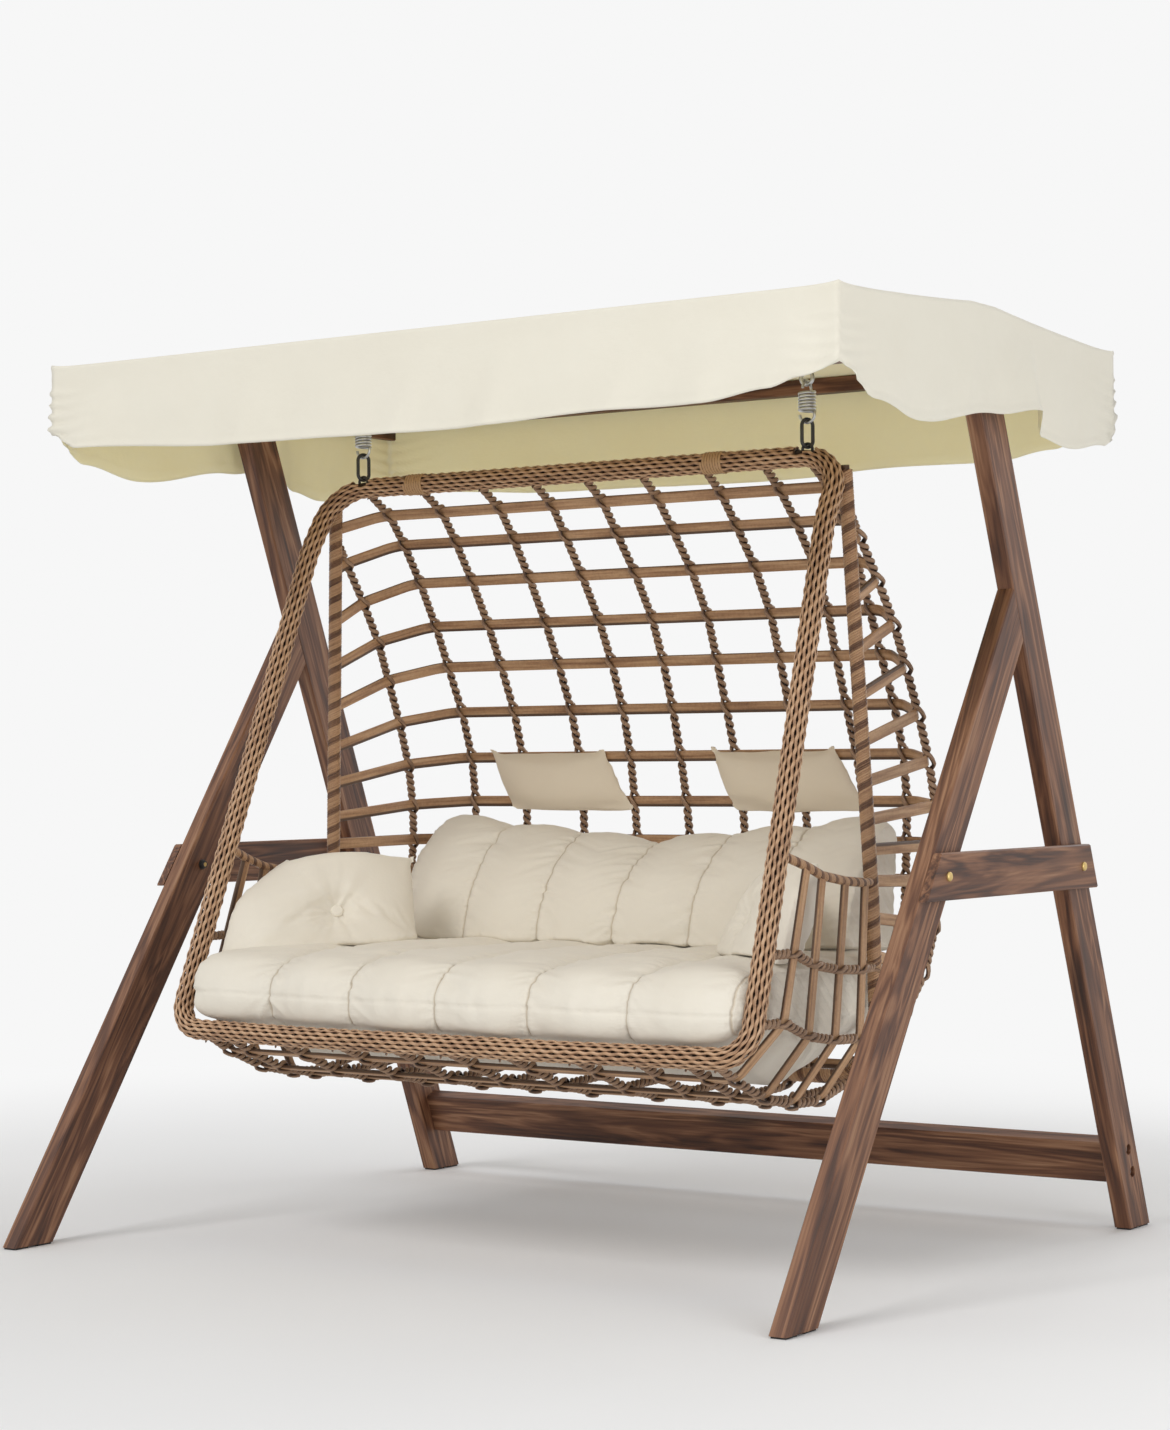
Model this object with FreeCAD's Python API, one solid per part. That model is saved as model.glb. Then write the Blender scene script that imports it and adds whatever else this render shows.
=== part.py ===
import FreeCAD, Part
import math
import os
from FreeCAD import Vector

# Rattan swing seat: a timber A-frame stand with a cloth canopy, and a wicker basket
# with cushions that hangs from two coil springs.
# Millimetres. +X to the right as seen from the front, +Y to the rear, +Z up, origin on
# the floor under the middle of the stand.

# Timber stand
stand_half_width = 1000.0
timber_thickness = 40.0
timber_depth = 100.0
timber_edge = 3.0
foot_half_spread = 821.0
leg_lean = math.radians(34.4)
post_top = 2000.0
pad_thickness = 4.0
pad_length = 42.0
pad_edge_inset = 4.0

# Boards bolted across the stand
board_thickness = 20.0
tie_bottom = 781.0
tie_height = 96.0
stretcher_middle = 157.0
stretcher_setback = 10.0
beam_height = 92.0
beam_thickness = 40.0
beam_forward = 17.7

# Bolts, nuts and screws
bolt_radius = 5.0
bolt_head_radius = 10.0
bolt_head_height = 5.0
hole_clearance = 0.3
nut_radius = 9.0
nut_height = 8.0
washer_radius = 12.0
washer_thickness = 2.0
counterbore_radius = 12.5
counterbore_depth = 12.0
end_bolt_spacing = 56.0
end_bolt_grip = 60.0
arm_bolt_setback = 27.0
arm_bolt_spacing = 30.0
screw_radius = 2.5
screw_head_radius = 5.0
screw_head_height = 3.0
screw_length = 60.0
cut_overrun = 5.0

# Canopy frame and cloth
canopy_half_depth = 622.0
canopy_middle_y = -5.0
canopy_edge_drop = 33.0
canopy_arm_height = 60.0
canopy_rail_depth = 40.0
canopy_rail_height = 36.0
cloth = 3.0
cloth_gap = 0.3
roof_sag = 4.0
hem_bulge = 18.0
hem_steps = 36
hem_folds = 7
hem_wave_share = 0.35
front_hem_drop = 217.0
rear_hem_drop = 232.0
side_hem_drop = 237.0
front_place_shares = (-1.0, -0.91, -0.45, 0.12, 0.47, 0.70, 0.85, 0.92, 1.0)
front_drop_shares = (0.71, 0.87, 0.967, 1.0, 0.95, 0.963, 0.88, 0.80, 0.70)
front_push_shares = (0.0, 0.45, 0.2, 0.6, 0.25, 0.5, 0.2, 0.4, 0.0)
side_place_shares = (-1.0, -0.81, -0.516, 0.013, 0.317, 0.37, 0.55, 0.88, 1.0)
side_drop_shares = (0.63, 0.886, 0.996, 0.81, 0.713, 0.93, 1.0, 0.90, 0.78)
side_push_shares = (0.0, 0.45, 0.15, 0.5, 0.65, 0.05, 0.4, 0.3, 0.0)

# Hanging line, eye bolts, springs and links
hang_inset = 84.0
hang_y = -22.5
eye_wire_radius = 4.5
eye_ring_radius = 14.0
eye_axis_drop = 40.0
spring_wire_radius = 3.1
spring_radius = 16.6
spring_pitch = 6.8
spring_turns = 6
spring_bend = 6.4
link_wire_radius = 4.0
link_half_width = 14.0
link_length = 60.0
link_turn = math.radians(64.0)
running_gap = 0.3
staple_wire_radius = 3.25
staple_half_width = 12.0
eye_reach = 26.76

# Basket hoops
arm_half_width = 728.0
bar_inset = 41.5
loop_bend_drop = 154.0
loop_bend_inset = 34.2
loop_bend_y = -114.0
front_outset = 18.4
front_y = -524.3
front_z = 476.0
front_bow = 58.0
front_bow_half_width = 340.0
loop_top_radius = 100.0
loop_front_radius = 68.0
loop_bend_radius = 420.0
loop_bow_radius = 900.0
loop_tube_radius = 12.7
tube_wall = 1.5
braid_radius = 22.5
band_radius = 24.0
band_length = 48.0
band_shares = (-0.645, 0.541)
hoop_tube_radius = 9.5
wrap_radius = 16.0
hoop_top_drop = 24.0
hoop_insets = (38.0, -2.5, 6.0, 72.0)
hoop_places = (-17.0, 13.0, 40.0, 60.0)
hoop_heights = (760.0, 500.0, 385.0)
hoop_knee_radius = 600.0
hoop_bend_radius = 90.0
seat_gap = 0.3

# Flat rails of the back and flat strips of the seat
rail_width = 26.0
rail_thickness = 9.0
rail_bend_radius = 60.0
corner_inset = 106.0
corner_chamfer = 97.0
seat_low = 340.0
upper_rails = 10
back_reach = 443.0
rail_end_shares = (0.932, 0.862, 0.773, 0.696, 0.626, 0.555, 0.493, 0.435, 0.389, 0.341,
                   0.284, 0.226, 0.182, 0.142)
rail_rise_shares = (0.957, 0.908, 0.844, 0.769, 0.698, 0.618, 0.537, 0.459, 0.392, 0.331,
                    0.255, 0.175, 0.102, 0.044)
rail_reach_shares = (0.204, 0.339, 0.496, 0.640, 0.740, 0.850, 0.939, 0.988, 1.0, 0.986,
                     0.943, 0.841, 0.660, 0.412)
arm_radius = 9.5
arm_front_z = 878.0
arm_outset = 16.0
strip_top_places = (-287.0, -224.0, -128.0, -44.0)
strip_tops = (849.0, 828.0, 813.5, 807.0)
strip_bend_outset = 24.0
strip_bend_heights = (540.0, 505.0, 489.0, 485.0)
strip_floor_inset = 64.0
strip_floor_places = (-440.0, -330.0, -218.0, -105.0)
strip_floor_heights = (423.0, 378.0, 355.0, 352.0)
strip_bend_radius = 45.0

# Twined ropes
rope_radius = 10.0
rope_gap = 0.6
rope_inset = 22.0
rope_shares = (-1.0, -0.74, -0.46, -0.21, 0.03, 0.28, 0.56, 0.81, 1.0)
side_rope_start = 1
side_row_shares = (0.56, 1.0)

# Cushions
cushion_gap = 0.4
seat_inset = 26.0
seat_front_set = 14.0
seat_front_round = 62.0
seat_top_front = 656.0
seat_top_rear = 640.0
seat_crown = 12.0
seat_front_bulge = 46.0
seat_rear = 318.0
seat_rear_z = 560.0
seat_heel = (205.0, 452.0)
seat_belly = (-200.0, 390.0)
seat_thigh = (-430.0, 458.0)
seat_floor_inset = 78.0
seat_end_rise = 86.0
seat_heel_inset = 130.0
seat_heel_rise = 128.0
seat_end_drop = 22.0
seat_end_draw = 70.0
seat_end_round = 40.0
seam_depth = 13.0
channels = 6
channel_steps = 6
seam_sharpness = 2.5
back_foot_y = 84.0
back_foot_z = 640.0
back_crest_y = 240.0
back_crest_z = 868.0
back_crest_lift = 58.0
back_heel_y = 345.0
back_rear_y = 384.0
back_bulge = 34.0
back_crown = 26.0
back_end_draw = 30.0
pillow_width = 420.0
pillow_height = 405.0
pillow_thickness = 140.0
pillow_inset = 142.0
pillow_right_y = -138.0
pillow_left_y = -192.0
pillow_z = 704.0
pillow_turn = math.radians(45.0)
pillow_tip = math.radians(31.0)
pillow_wall_inset = 28.0
edge_seam = 5.0
tuft_radius = 46.0
tuft_depth = 26.0
button_radius = 15.0
button_height = 9.0
head_width = 335.0
head_height = 150.0
head_thickness = 74.0
head_shares = (-0.5064, 0.5113)
head_gap = 2.0
head_skew = 32.0
head_lower_rail = 7
head_upper_rail = 6

DIRECTIONS = (-1.0, 1.0)
X_AXIS = Vector(1, 0, 0)
Y_AXIS = Vector(0, 1, 0)
Z_AXIS = Vector(0, 0, 1)


# Shape helpers
def face_of(points):
    """Flat face on a closed outline."""
    return Part.Face(Part.makePolygon(list(points) + [points[0]]))


def prism_x(outline, start, end):
    """Outline of (y, z) points extruded along X."""
    points = [Vector(start, y, z) for y, z in outline]
    return face_of(points).extrude(Vector(end - start, 0, 0))


def box(low, high):
    """Box between two corners."""
    size = Vector(*high).sub(Vector(*low))
    return Part.makeBox(size.x, size.y, size.z, Vector(*low))


def rod(start, end, radius):
    """Round rod between two points."""
    axis = end.sub(start)
    return Part.makeCylinder(radius, axis.Length, start, axis)


def mirrored(shape):
    """Copy on the other side of the middle plane."""
    return shape.mirror(Vector(0, 0, 0), X_AXIS)


def on_side(direction, shape):
    """Shape modelled at +X, placed on the side that direction names."""
    return shape if direction > 0 else mirrored(shape)


def eased(solid, along):
    """Timber with its four long edges chamfered; along is the grain direction."""
    longest = max(edge.Length for edge in solid.Edges)
    keep = []
    for edge in solid.Edges:
        run = edge.tangentAt(edge.FirstParameter)
        if abs(run.dot(along)) > math.cos(timber_edge / timber_thickness) and edge.Length > longest / 2:
            keep.append(edge)
    return solid.makeChamfer(timber_edge, keep)


def rounded_path(points, radii):
    """Open wire of straight runs joined by tangent arcs; radii has one entry for each inner point."""
    edges = []
    last = points[0]
    for before, corner, after, radius in zip(points, points[1:], points[2:], radii):
        back = before.sub(corner).normalize()
        ahead = after.sub(corner).normalize()
        half = back.getAngle(ahead) / 2
        reach = radius / math.tan(half)
        start = corner + back * reach
        end = corner + ahead * reach
        middle = (back + ahead).normalize()
        top = corner + middle * (radius / math.sin(half) - radius)
        edges.append(Part.LineSegment(last, start).toShape())
        edges.append(Part.Arc(start, top, end).toShape())
        last = end
    edges.append(Part.LineSegment(last, points[-1]).toShape())
    return Part.Wire(edges)


def swept(path, profile):
    """Solid swept by a closed profile wire along a path."""
    shell = Part.BRepOffsetAPI.MakePipeShell(path)
    shell.add(profile)
    shell.build()
    shell.makeSolid()
    return shell.shape()


def tube(path, radius):
    """Round bar along a path."""
    first = path.OrderedEdges[0]
    run = first.tangentAt(first.FirstParameter)
    start = first.valueAt(first.FirstParameter)
    return swept(path, Part.Wire(Part.Circle(start, run, radius).toShape()))


def flat_bar(path, across, width, thickness):
    """Flat bar along a path in one plane; width lies along across, the plane's normal."""
    first = path.OrderedEdges[0]
    run = first.tangentAt(first.FirstParameter)
    start = first.valueAt(first.FirstParameter)
    wide = across * (width / 2)
    thin = run.cross(across) * (thickness / 2)
    corners = [start + wide + thin, start + wide - thin, start - wide - thin, start - wide + thin]
    return swept(path, Part.makePolygon(corners + [corners[0]]))


def whole(left_half):
    """A piece made of a half at -X and its mirror image, joined in the middle."""
    return left_half.fuse(mirrored(left_half)).removeSplitter()


def rope(points, across, radius):
    """Six-sided rope through points."""
    sections = []
    for index, point in enumerate(points):
        run = points[min(index + 1, len(points) - 1)].sub(points[max(index - 1, 0)]).normalize()
        side = across.sub(run * across.dot(run)).normalize()
        up = run.cross(side)
        turns = [step * math.pi / 3 for step in range(6)]
        ring = [point + side * (radius * math.cos(turn)) + up * (radius * math.sin(turn)) for turn in turns]
        sections.append(Part.makePolygon(ring + [ring[0]]))
    return Part.makeLoft(sections, True, True)


def cleared(solid, others):
    """Solid with the room that its neighbours need taken out."""
    near = [other for other in others if solid.BoundBox.intersect(other.BoundBox)]
    return solid.cut(near).Solids if near else [solid]


def largest(solids):
    """Biggest of several solids."""
    return max(solids, key=lambda solid: solid.Volume)


def arc_wire(pieces):
    """Closed wire; a piece is (start, end) or (start, middle, end)."""
    edges = []
    for piece in pieces:
        if len(piece) == 2:
            edges.append(Part.LineSegment(*piece).toShape())
        else:
            edges.append(Part.Arc(*piece).toShape())
    return Part.Wire(edges)


def bowed(start, end, outward):
    """Arc piece from start to end, pushed out by the vector outward at its middle."""
    return (start, (start + end) * 0.5 + outward, end)


# Lines of the stand
foot_reach = foot_half_spread - hang_y - beam_forward
top_rise = post_top - beam_height / 2 - pad_thickness
post_lean = math.atan2(foot_reach, top_rise) - math.asin(timber_depth / 2 / math.hypot(foot_reach, top_rise))
post_run = timber_depth / math.cos(post_lean)
leg_run = timber_depth / math.cos(leg_lean)


def post_front_at(z):
    """Y of the rear post's front face at a height."""
    return foot_half_spread - post_run - math.tan(post_lean) * (z - pad_thickness)


def post_rear_at(z):
    """Y of the rear post's rear face at a height."""
    return post_front_at(z) + post_run


def leg_front_at(z):
    """Y of the front leg's front face at a height."""
    return -foot_half_spread + math.tan(leg_lean) * (z - pad_thickness)


def leg_meets_post(shift):
    """Height where the leg's front face, moved back by shift, reaches the post."""
    gap = post_front_at(pad_thickness) - leg_front_at(pad_thickness) - shift
    return pad_thickness + gap / (math.tan(leg_lean) + math.tan(post_lean))


post_inner = stand_half_width - timber_thickness
post_grain = Vector(0, -math.sin(post_lean), math.cos(post_lean))
post_normal = Vector(0, math.cos(post_lean), math.sin(post_lean))
leg_grain = Vector(0, math.sin(leg_lean), math.cos(leg_lean))
beam_bottom = post_top - beam_height
canopy_edge_top = post_top - canopy_edge_drop
tie_middle = tie_bottom + tie_height / 2
apex = leg_meets_post(leg_run / 2)


def tie_bolt_places():
    """Middle of each leg at the tie's height."""
    return ((leg_front_at(tie_middle) + leg_run / 2, tie_middle),
            (post_front_at(tie_middle) + post_run / 2, tie_middle))


def stretcher_centre():
    """Middle of the stretcher's section, set back from the post's own middle."""
    return Vector(0, post_front_at(stretcher_middle) + post_run / 2 + stretcher_setback, stretcher_middle)


def end_bolt_places(centre, grain):
    """Two places along the grain, either side of a board's middle."""
    step = grain * (end_bolt_spacing / 2)
    return [centre + step, centre - step]


def beam_centre():
    """Middle of the top beam's section."""
    return Vector(0, hang_y, beam_bottom + beam_height / 2)


def arm_bolt_places():
    """Bolts of a canopy arm, behind the top beam."""
    middle = canopy_edge_top - canopy_arm_height / 2
    places = []
    for step in DIRECTIONS:
        z = middle + step * arm_bolt_spacing / 2
        places.append(Vector(0, post_front_at(z) + post_run / 2 + arm_bolt_setback, z))
    return places


# Stand
def bolt_hole_x(y, z, start, end):
    """Clearance hole along X."""
    return rod(Vector(start, y, z), Vector(end, y, z), bolt_radius + hole_clearance)


def counterbore_x(y, z):
    """Wide mouth of a hole in the outer face of a post."""
    start = stand_half_width - counterbore_depth
    return rod(Vector(start, y, z), Vector(stand_half_width + cut_overrun, y, z), counterbore_radius)


def apex_bolt_line():
    """Start, in the counterbore, and end, in the leg, of the bolt that joins leg and post."""
    middle = Vector(stand_half_width - timber_thickness / 2, post_front_at(apex), apex)
    return middle + post_normal * (timber_depth - counterbore_depth), middle - post_normal * end_bolt_grip


def rear_post():
    """Right rear post with its bolt holes."""
    outline = [(post_front_at(pad_thickness), pad_thickness), (post_rear_at(pad_thickness), pad_thickness),
               (post_rear_at(post_top), post_top), (post_front_at(post_top), post_top)]
    solid = eased(prism_x(outline, post_inner, stand_half_width), post_grain)
    start, end = post_inner - cut_overrun, stand_half_width + cut_overrun
    holes = [bolt_hole_x(*tie_bolt_places()[1], start, end)]
    for place in arm_bolt_places():
        holes.append(bolt_hole_x(place.y, place.z, start, end))
    ends = end_bolt_places(stretcher_centre(), post_grain) + end_bolt_places(beam_centre(), Z_AXIS)
    for place in ends:
        holes.append(bolt_hole_x(place.y, place.z, start, end))
        holes.append(counterbore_x(place.y, place.z))
    head, tip = apex_bolt_line()
    holes.append(rod(head, tip, bolt_radius + hole_clearance))
    holes.append(rod(head, head + post_normal * (counterbore_depth + cut_overrun), counterbore_radius))
    return solid.cut(holes)


def front_leg():
    """Right front leg, its top cut to the post's front face."""
    high, low = leg_meets_post(0), leg_meets_post(leg_run)
    outline = [(leg_front_at(pad_thickness), pad_thickness),
               (leg_front_at(pad_thickness) + leg_run, pad_thickness),
               (post_front_at(low), low), (post_front_at(high), high)]
    solid = eased(prism_x(outline, post_inner, stand_half_width), leg_grain)
    hole = bolt_hole_x(*tie_bolt_places()[0], post_inner - cut_overrun, stand_half_width + cut_overrun)
    head, tip = apex_bolt_line()
    return solid.cut([hole, rod(head, tip, bolt_radius + hole_clearance)])


def side_tie():
    """Right tie board across the outer faces, ends cut along the legs."""
    top = tie_bottom + tie_height
    outline = [(leg_front_at(tie_bottom), tie_bottom), (post_rear_at(tie_bottom), tie_bottom),
               (post_rear_at(top), top), (leg_front_at(top), top)]
    solid = eased(prism_x(outline, stand_half_width, stand_half_width + board_thickness), Y_AXIS)
    end = stand_half_width + board_thickness + cut_overrun
    return solid.cut([bolt_hole_x(y, z, stand_half_width - cut_overrun, end) for y, z in tie_bolt_places()])


def end_holes(places):
    """Bolt holes into both ends of a cross board."""
    depth = end_bolt_grip - timber_thickness + counterbore_depth + end_bolt_grip
    holes = []
    for place in places:
        for direction in DIRECTIONS:
            holes.append(bolt_hole_x(place.y, place.z, direction * post_inner,
                                     direction * (post_inner - depth)))
    return holes


def rear_stretcher():
    """Board between the rear posts, leaning as they do."""
    centre = stretcher_centre()
    tall = post_grain * (timber_depth / 2)
    thick = post_normal * (timber_thickness / 2)
    corners = [centre - tall - thick, centre - tall + thick, centre + tall + thick, centre + tall - thick]
    solid = eased(prism_x([(corner.y, corner.z) for corner in corners], -post_inner, post_inner), X_AXIS)
    return solid.cut(end_holes(end_bolt_places(centre, post_grain)))


def top_beam():
    """Beam between the posts' tops, bored for the eye bolts."""
    low, high = hang_y - beam_thickness / 2, hang_y + beam_thickness / 2
    outline = [(low, beam_bottom), (high, beam_bottom), (high, post_top), (low, post_top)]
    solid = eased(prism_x(outline, -post_inner, post_inner), X_AXIS)
    holes = end_holes(end_bolt_places(beam_centre(), Z_AXIS))
    for direction in DIRECTIONS:
        foot = Vector(direction * hang_half_span, hang_y, beam_bottom - cut_overrun)
        head = Vector(direction * hang_half_span, hang_y, post_top + cut_overrun)
        seat = Vector(direction * hang_half_span, hang_y, post_top - counterbore_depth)
        holes.append(rod(foot, head, bolt_radius + hole_clearance))
        holes.append(rod(seat, head, counterbore_radius))
    return solid.cut(holes)


def foot_pads():
    """Two rubber pads under each foot."""
    pads = []
    inset = pad_edge_inset
    feet = ((leg_front_at(pad_thickness), leg_run), (post_front_at(pad_thickness), post_run))
    for front, run in feet:
        for start in (front + inset, front + run - inset - pad_length):
            pad = box((post_inner + inset, start, 0), (stand_half_width - inset, start + pad_length, pad_thickness))
            pads += [pad, mirrored(pad)]
    return Part.makeCompound(pads)


# Bolts
def domed_bolt(head_seat, tip):
    """Bolt with a low domed head on head_seat, shank to tip."""
    run = tip.sub(head_seat).normalize()
    head = Part.makeCylinder(bolt_head_radius, bolt_head_height, head_seat, run * -1)
    rim = [edge for edge in head.Edges if edge.Closed and edge.CenterOfMass.sub(head_seat).Length > bolt_head_height / 2]
    head = head.makeFillet(bolt_head_height * 0.8, rim)
    return head.fuse(rod(head_seat, tip, bolt_radius)).removeSplitter()


def hexagon_prism(centre, axis, across_corner, height, bore):
    """Nut: a hexagon with a round bore."""
    side = axis.cross(Z_AXIS if abs(axis.z) < abs(axis.x) + abs(axis.y) else X_AXIS).normalize()
    other = axis.cross(side)
    turns = [step * math.pi / 3 for step in range(6)]
    ring = [centre + side * (across_corner * math.cos(turn)) + other * (across_corner * math.sin(turn))
            for turn in turns]
    solid = face_of(ring).extrude(axis * height)
    return solid.cut(Part.makeCylinder(bore, height, centre, axis))


def washer(centre, axis):
    """Plain washer."""
    disc = Part.makeCylinder(washer_radius, washer_thickness, centre, axis)
    return disc.cut(Part.makeCylinder(bolt_radius + hole_clearance, washer_thickness, centre, axis))


def tie_bolts():
    """Brass-coloured bolts through the ties."""
    bolts = []
    for y, z in tie_bolt_places():
        seat = Vector(stand_half_width + board_thickness, y, z)
        tip = Vector(post_inner - washer_thickness - nut_height, y, z)
        bolt = domed_bolt(seat, tip)
        bolts += [bolt, mirrored(bolt)]
    return Part.makeCompound(bolts)


def tie_nuts():
    """Nut and washer on the inner end of each tie bolt."""
    pieces = []
    inward = X_AXIS * -1
    for y, z in tie_bolt_places():
        face = Vector(post_inner, y, z)
        ring = washer(face, inward)
        nut = hexagon_prism(face + inward * washer_thickness, inward, nut_radius, nut_height,
                            bolt_radius + hole_clearance)
        pieces += [ring, nut, mirrored(ring), mirrored(nut)]
    return Part.makeCompound(pieces)


def end_bolts(places):
    """Sunk bolts through the posts into a cross board."""
    bolts = []
    for place in places:
        seat = Vector(stand_half_width - counterbore_depth, place.y, place.z)
        bolt = domed_bolt(seat, seat - X_AXIS * (end_bolt_grip + timber_thickness - counterbore_depth))
        bolts += [bolt, mirrored(bolt)]
    return Part.makeCompound(bolts)


def apex_bolts():
    """Sunk bolt that draws each front leg against its post."""
    bolt = domed_bolt(*apex_bolt_line())
    return Part.makeCompound([bolt, mirrored(bolt)])


def canopy_arm_bolts():
    """Bolts from the posts' inner faces into the canopy arms."""
    bolts = []
    for place in arm_bolt_places():
        seat = Vector(post_inner, place.y, place.z)
        bolt = domed_bolt(seat, Vector(stand_half_width + board_thickness, place.y, place.z))
        bolts += [bolt, mirrored(bolt)]
    return Part.makeCompound(bolts)


# Canopy frame
canopy_front = canopy_middle_y - canopy_half_depth
canopy_rear = canopy_middle_y + canopy_half_depth
arm_outer = stand_half_width + board_thickness


def rail_screw_places():
    """Middle of each canopy rail's end."""
    z = canopy_edge_top - canopy_rail_height / 2
    return ((canopy_front + canopy_rail_depth / 2, z), (canopy_rear - canopy_rail_depth / 2, z))


def countersunk(y, z, gap):
    """Countersunk screw from an arm's outer face into a rail's end, grown by gap."""
    face = Vector(arm_outer, y, z)
    head = Part.makeCone(screw_head_radius + gap, screw_radius + gap, screw_head_height, face, X_AXIS * -1)
    shank = rod(face, face - X_AXIS * (screw_length + gap), screw_radius + gap)
    return head.fuse(shank).removeSplitter()


def canopy_arm():
    """Right canopy arm, on the post's outer face."""
    solid = box((stand_half_width, canopy_front, canopy_edge_top - canopy_arm_height),
                (arm_outer, canopy_rear, canopy_edge_top))
    holes = [bolt_hole_x(place.y, place.z, stand_half_width - cut_overrun, arm_outer + cut_overrun)
             for place in arm_bolt_places()]
    holes += [countersunk(y, z, hole_clearance) for y, z in rail_screw_places()]
    return eased(solid, Y_AXIS).cut(holes)


def canopy_rail(place):
    """Rail between the arms' ends that carries the cloth's edge."""
    y, z = place
    depth, height = canopy_rail_depth / 2, canopy_rail_height / 2
    solid = box((-stand_half_width, y - depth, z - height), (stand_half_width, y + depth, z + height))
    screw = countersunk(y, z, hole_clearance)
    return eased(solid, X_AXIS).cut([screw, mirrored(screw)])


def canopy_screws():
    """Screws of the canopy frame."""
    screws = []
    for y, z in rail_screw_places():
        screw = countersunk(y, z, 0)
        screws += [screw, mirrored(screw)]
    return Part.makeCompound(screws)


# Canopy cloth
cloth_front = canopy_front - cloth_gap
cloth_rear = canopy_rear + cloth_gap
cloth_side = arm_outer + cloth_gap
ridge_front = post_front_at(post_top)
ridge_rear = post_rear_at(post_top)


def canopy_roof():
    """Roof sheet stretched over the ridge and both rails, slack between them."""
    edge, ridge = canopy_edge_top + cloth_gap, post_top + cloth_gap
    up, sag = Vector(0, 0, cloth), Vector(0, 0, -roof_sag)
    start = -cloth_side - cloth
    front = Vector(start, cloth_front - cloth, edge)
    rise = Vector(start, ridge_front, ridge)
    fall = Vector(start, ridge_rear, ridge)
    rear = Vector(start, cloth_rear + cloth, edge)
    pieces = [bowed(front, rise, sag), (rise, fall), bowed(fall, rear, sag), (rear, rear + up),
              bowed(rear + up, fall + up, sag), (fall + up, rise + up), bowed(rise + up, front + up, sag),
              (front + up, front)]
    return Part.Face(arc_wire(pieces)).extrude(Vector(-2 * start, 0, 0))


def roof_under_at(y):
    """Height of the roof's underside above a place on the side edge."""
    edge, ridge = canopy_edge_top + cloth_gap, post_top + cloth_gap
    if ridge_front <= y <= ridge_rear:
        return ridge
    low, high = (cloth_front - cloth, ridge_front) if y < ridge_front else (cloth_rear + cloth, ridge_rear)
    share = (y - low) / (high - low)
    return edge + (ridge - edge) * share - 4 * roof_sag * share * (1 - share)


def hanging_strip(stations, out, along):
    """Cloth hanging down; a station is (place, top height, hem height, push out at the hem)."""
    wires = []
    for place, top, hem, push in stations:
        base = along * place
        head = base + Z_AXIS * top
        foot = base + Z_AXIS * hem + out * push
        ring = [head, foot, foot + out * cloth, head + out * cloth]
        wires.append(Part.makePolygon(ring + [head]))
    return Part.makeLoft(wires, True, True)


def along_table(places, values, spot):
    """Value at a spot, eased from one entry of a table to the next."""
    for low, high, first, last in zip(places, places[1:], values, values[1:]):
        if spot <= high:
            share = (1 - math.cos(math.pi * (spot - low) / (high - low))) / 2
            return first + (last - first) * share
    return values[-1]


def hem_stations(places, drops, pushes, drop):
    """Spots from -1 to 1 along a hem, with the hem's height and its push out from the rail."""
    stations = []
    for step in range(hem_steps + 1):
        spot = 2 * step / hem_steps - 1
        wave = (1 - math.cos(math.pi * hem_folds * (spot + 1))) / 2
        push = along_table(places, pushes, spot) + wave * hem_wave_share * (1 - spot ** 4)
        stations.append((spot, canopy_edge_top - drop * along_table(places, drops, spot), hem_bulge * push))
    return stations


def valance_end(out, drop):
    """Front or rear hanging edge of the canopy; out is -Y or +Y."""
    reach = cloth_side + cloth
    stations = hem_stations(front_place_shares, front_drop_shares, front_push_shares, drop)
    stations = [(reach * spot, canopy_edge_top, hem, push) for spot, hem, push in stations]
    strip = hanging_strip(stations, out, X_AXIS)
    return strip.translated(Vector(0, cloth_front if out.y < 0 else cloth_rear, 0))


def valance_side():
    """Right hanging edge of the canopy, between the front and rear ones."""
    half = (cloth_rear - cloth_front) / 2
    middle = (cloth_rear + cloth_front) / 2
    stations = hem_stations(side_place_shares, side_drop_shares, side_push_shares, side_hem_drop)
    places = [(middle + half * spot, hem, push) for spot, hem, push in stations]
    stations = [(place, roof_under_at(place) - 2 * cloth_gap, hem, push) for place, hem, push in places]
    return hanging_strip(stations, X_AXIS, Y_AXIS).translated(X_AXIS * cloth_side)


# Hangers
bar_half_width = arm_half_width - bar_inset
hang_half_span = bar_half_width - hang_inset
hinge_z = beam_bottom - eye_axis_drop
eye_centre_z = hinge_z + eye_ring_radius
hook_top = hinge_z + eye_wire_radius + running_gap + spring_wire_radius
hook_radius = math.hypot(spring_radius, spring_bend)
hook_angle = math.atan2(spring_bend, spring_radius)
coil_angle = 2 * math.pi * spring_turns + math.pi / 2 - 2 * hook_angle
coil_top = hook_top - hook_radius - spring_bend
coil_bottom = coil_top - spring_pitch * coil_angle / (2 * math.pi)
loop_low = coil_bottom - spring_bend - hook_radius
link_top = loop_low + spring_wire_radius + running_gap + link_wire_radius
link_bottom = link_top - link_length
staple_top = link_bottom + link_wire_radius + running_gap + staple_wire_radius
bar_top = staple_top - eye_reach


def eye_bolt():
    """Right eye bolt: ring, collar and shank up through the beam."""
    middle = Vector(hang_half_span, hang_y, eye_centre_z)
    ring = Part.makeTorus(eye_ring_radius, eye_wire_radius, middle, Y_AXIS)
    neck = middle + Z_AXIS * eye_ring_radius
    collar_foot = Vector(middle.x, middle.y, beam_bottom - washer_thickness)
    collar = Part.makeCylinder(bolt_head_radius, washer_thickness, collar_foot, Z_AXIS)
    shank = rod(neck, Vector(middle.x, middle.y, post_top - washer_thickness), bolt_radius)
    return ring.fuse([collar, shank]).removeSplitter()


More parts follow.
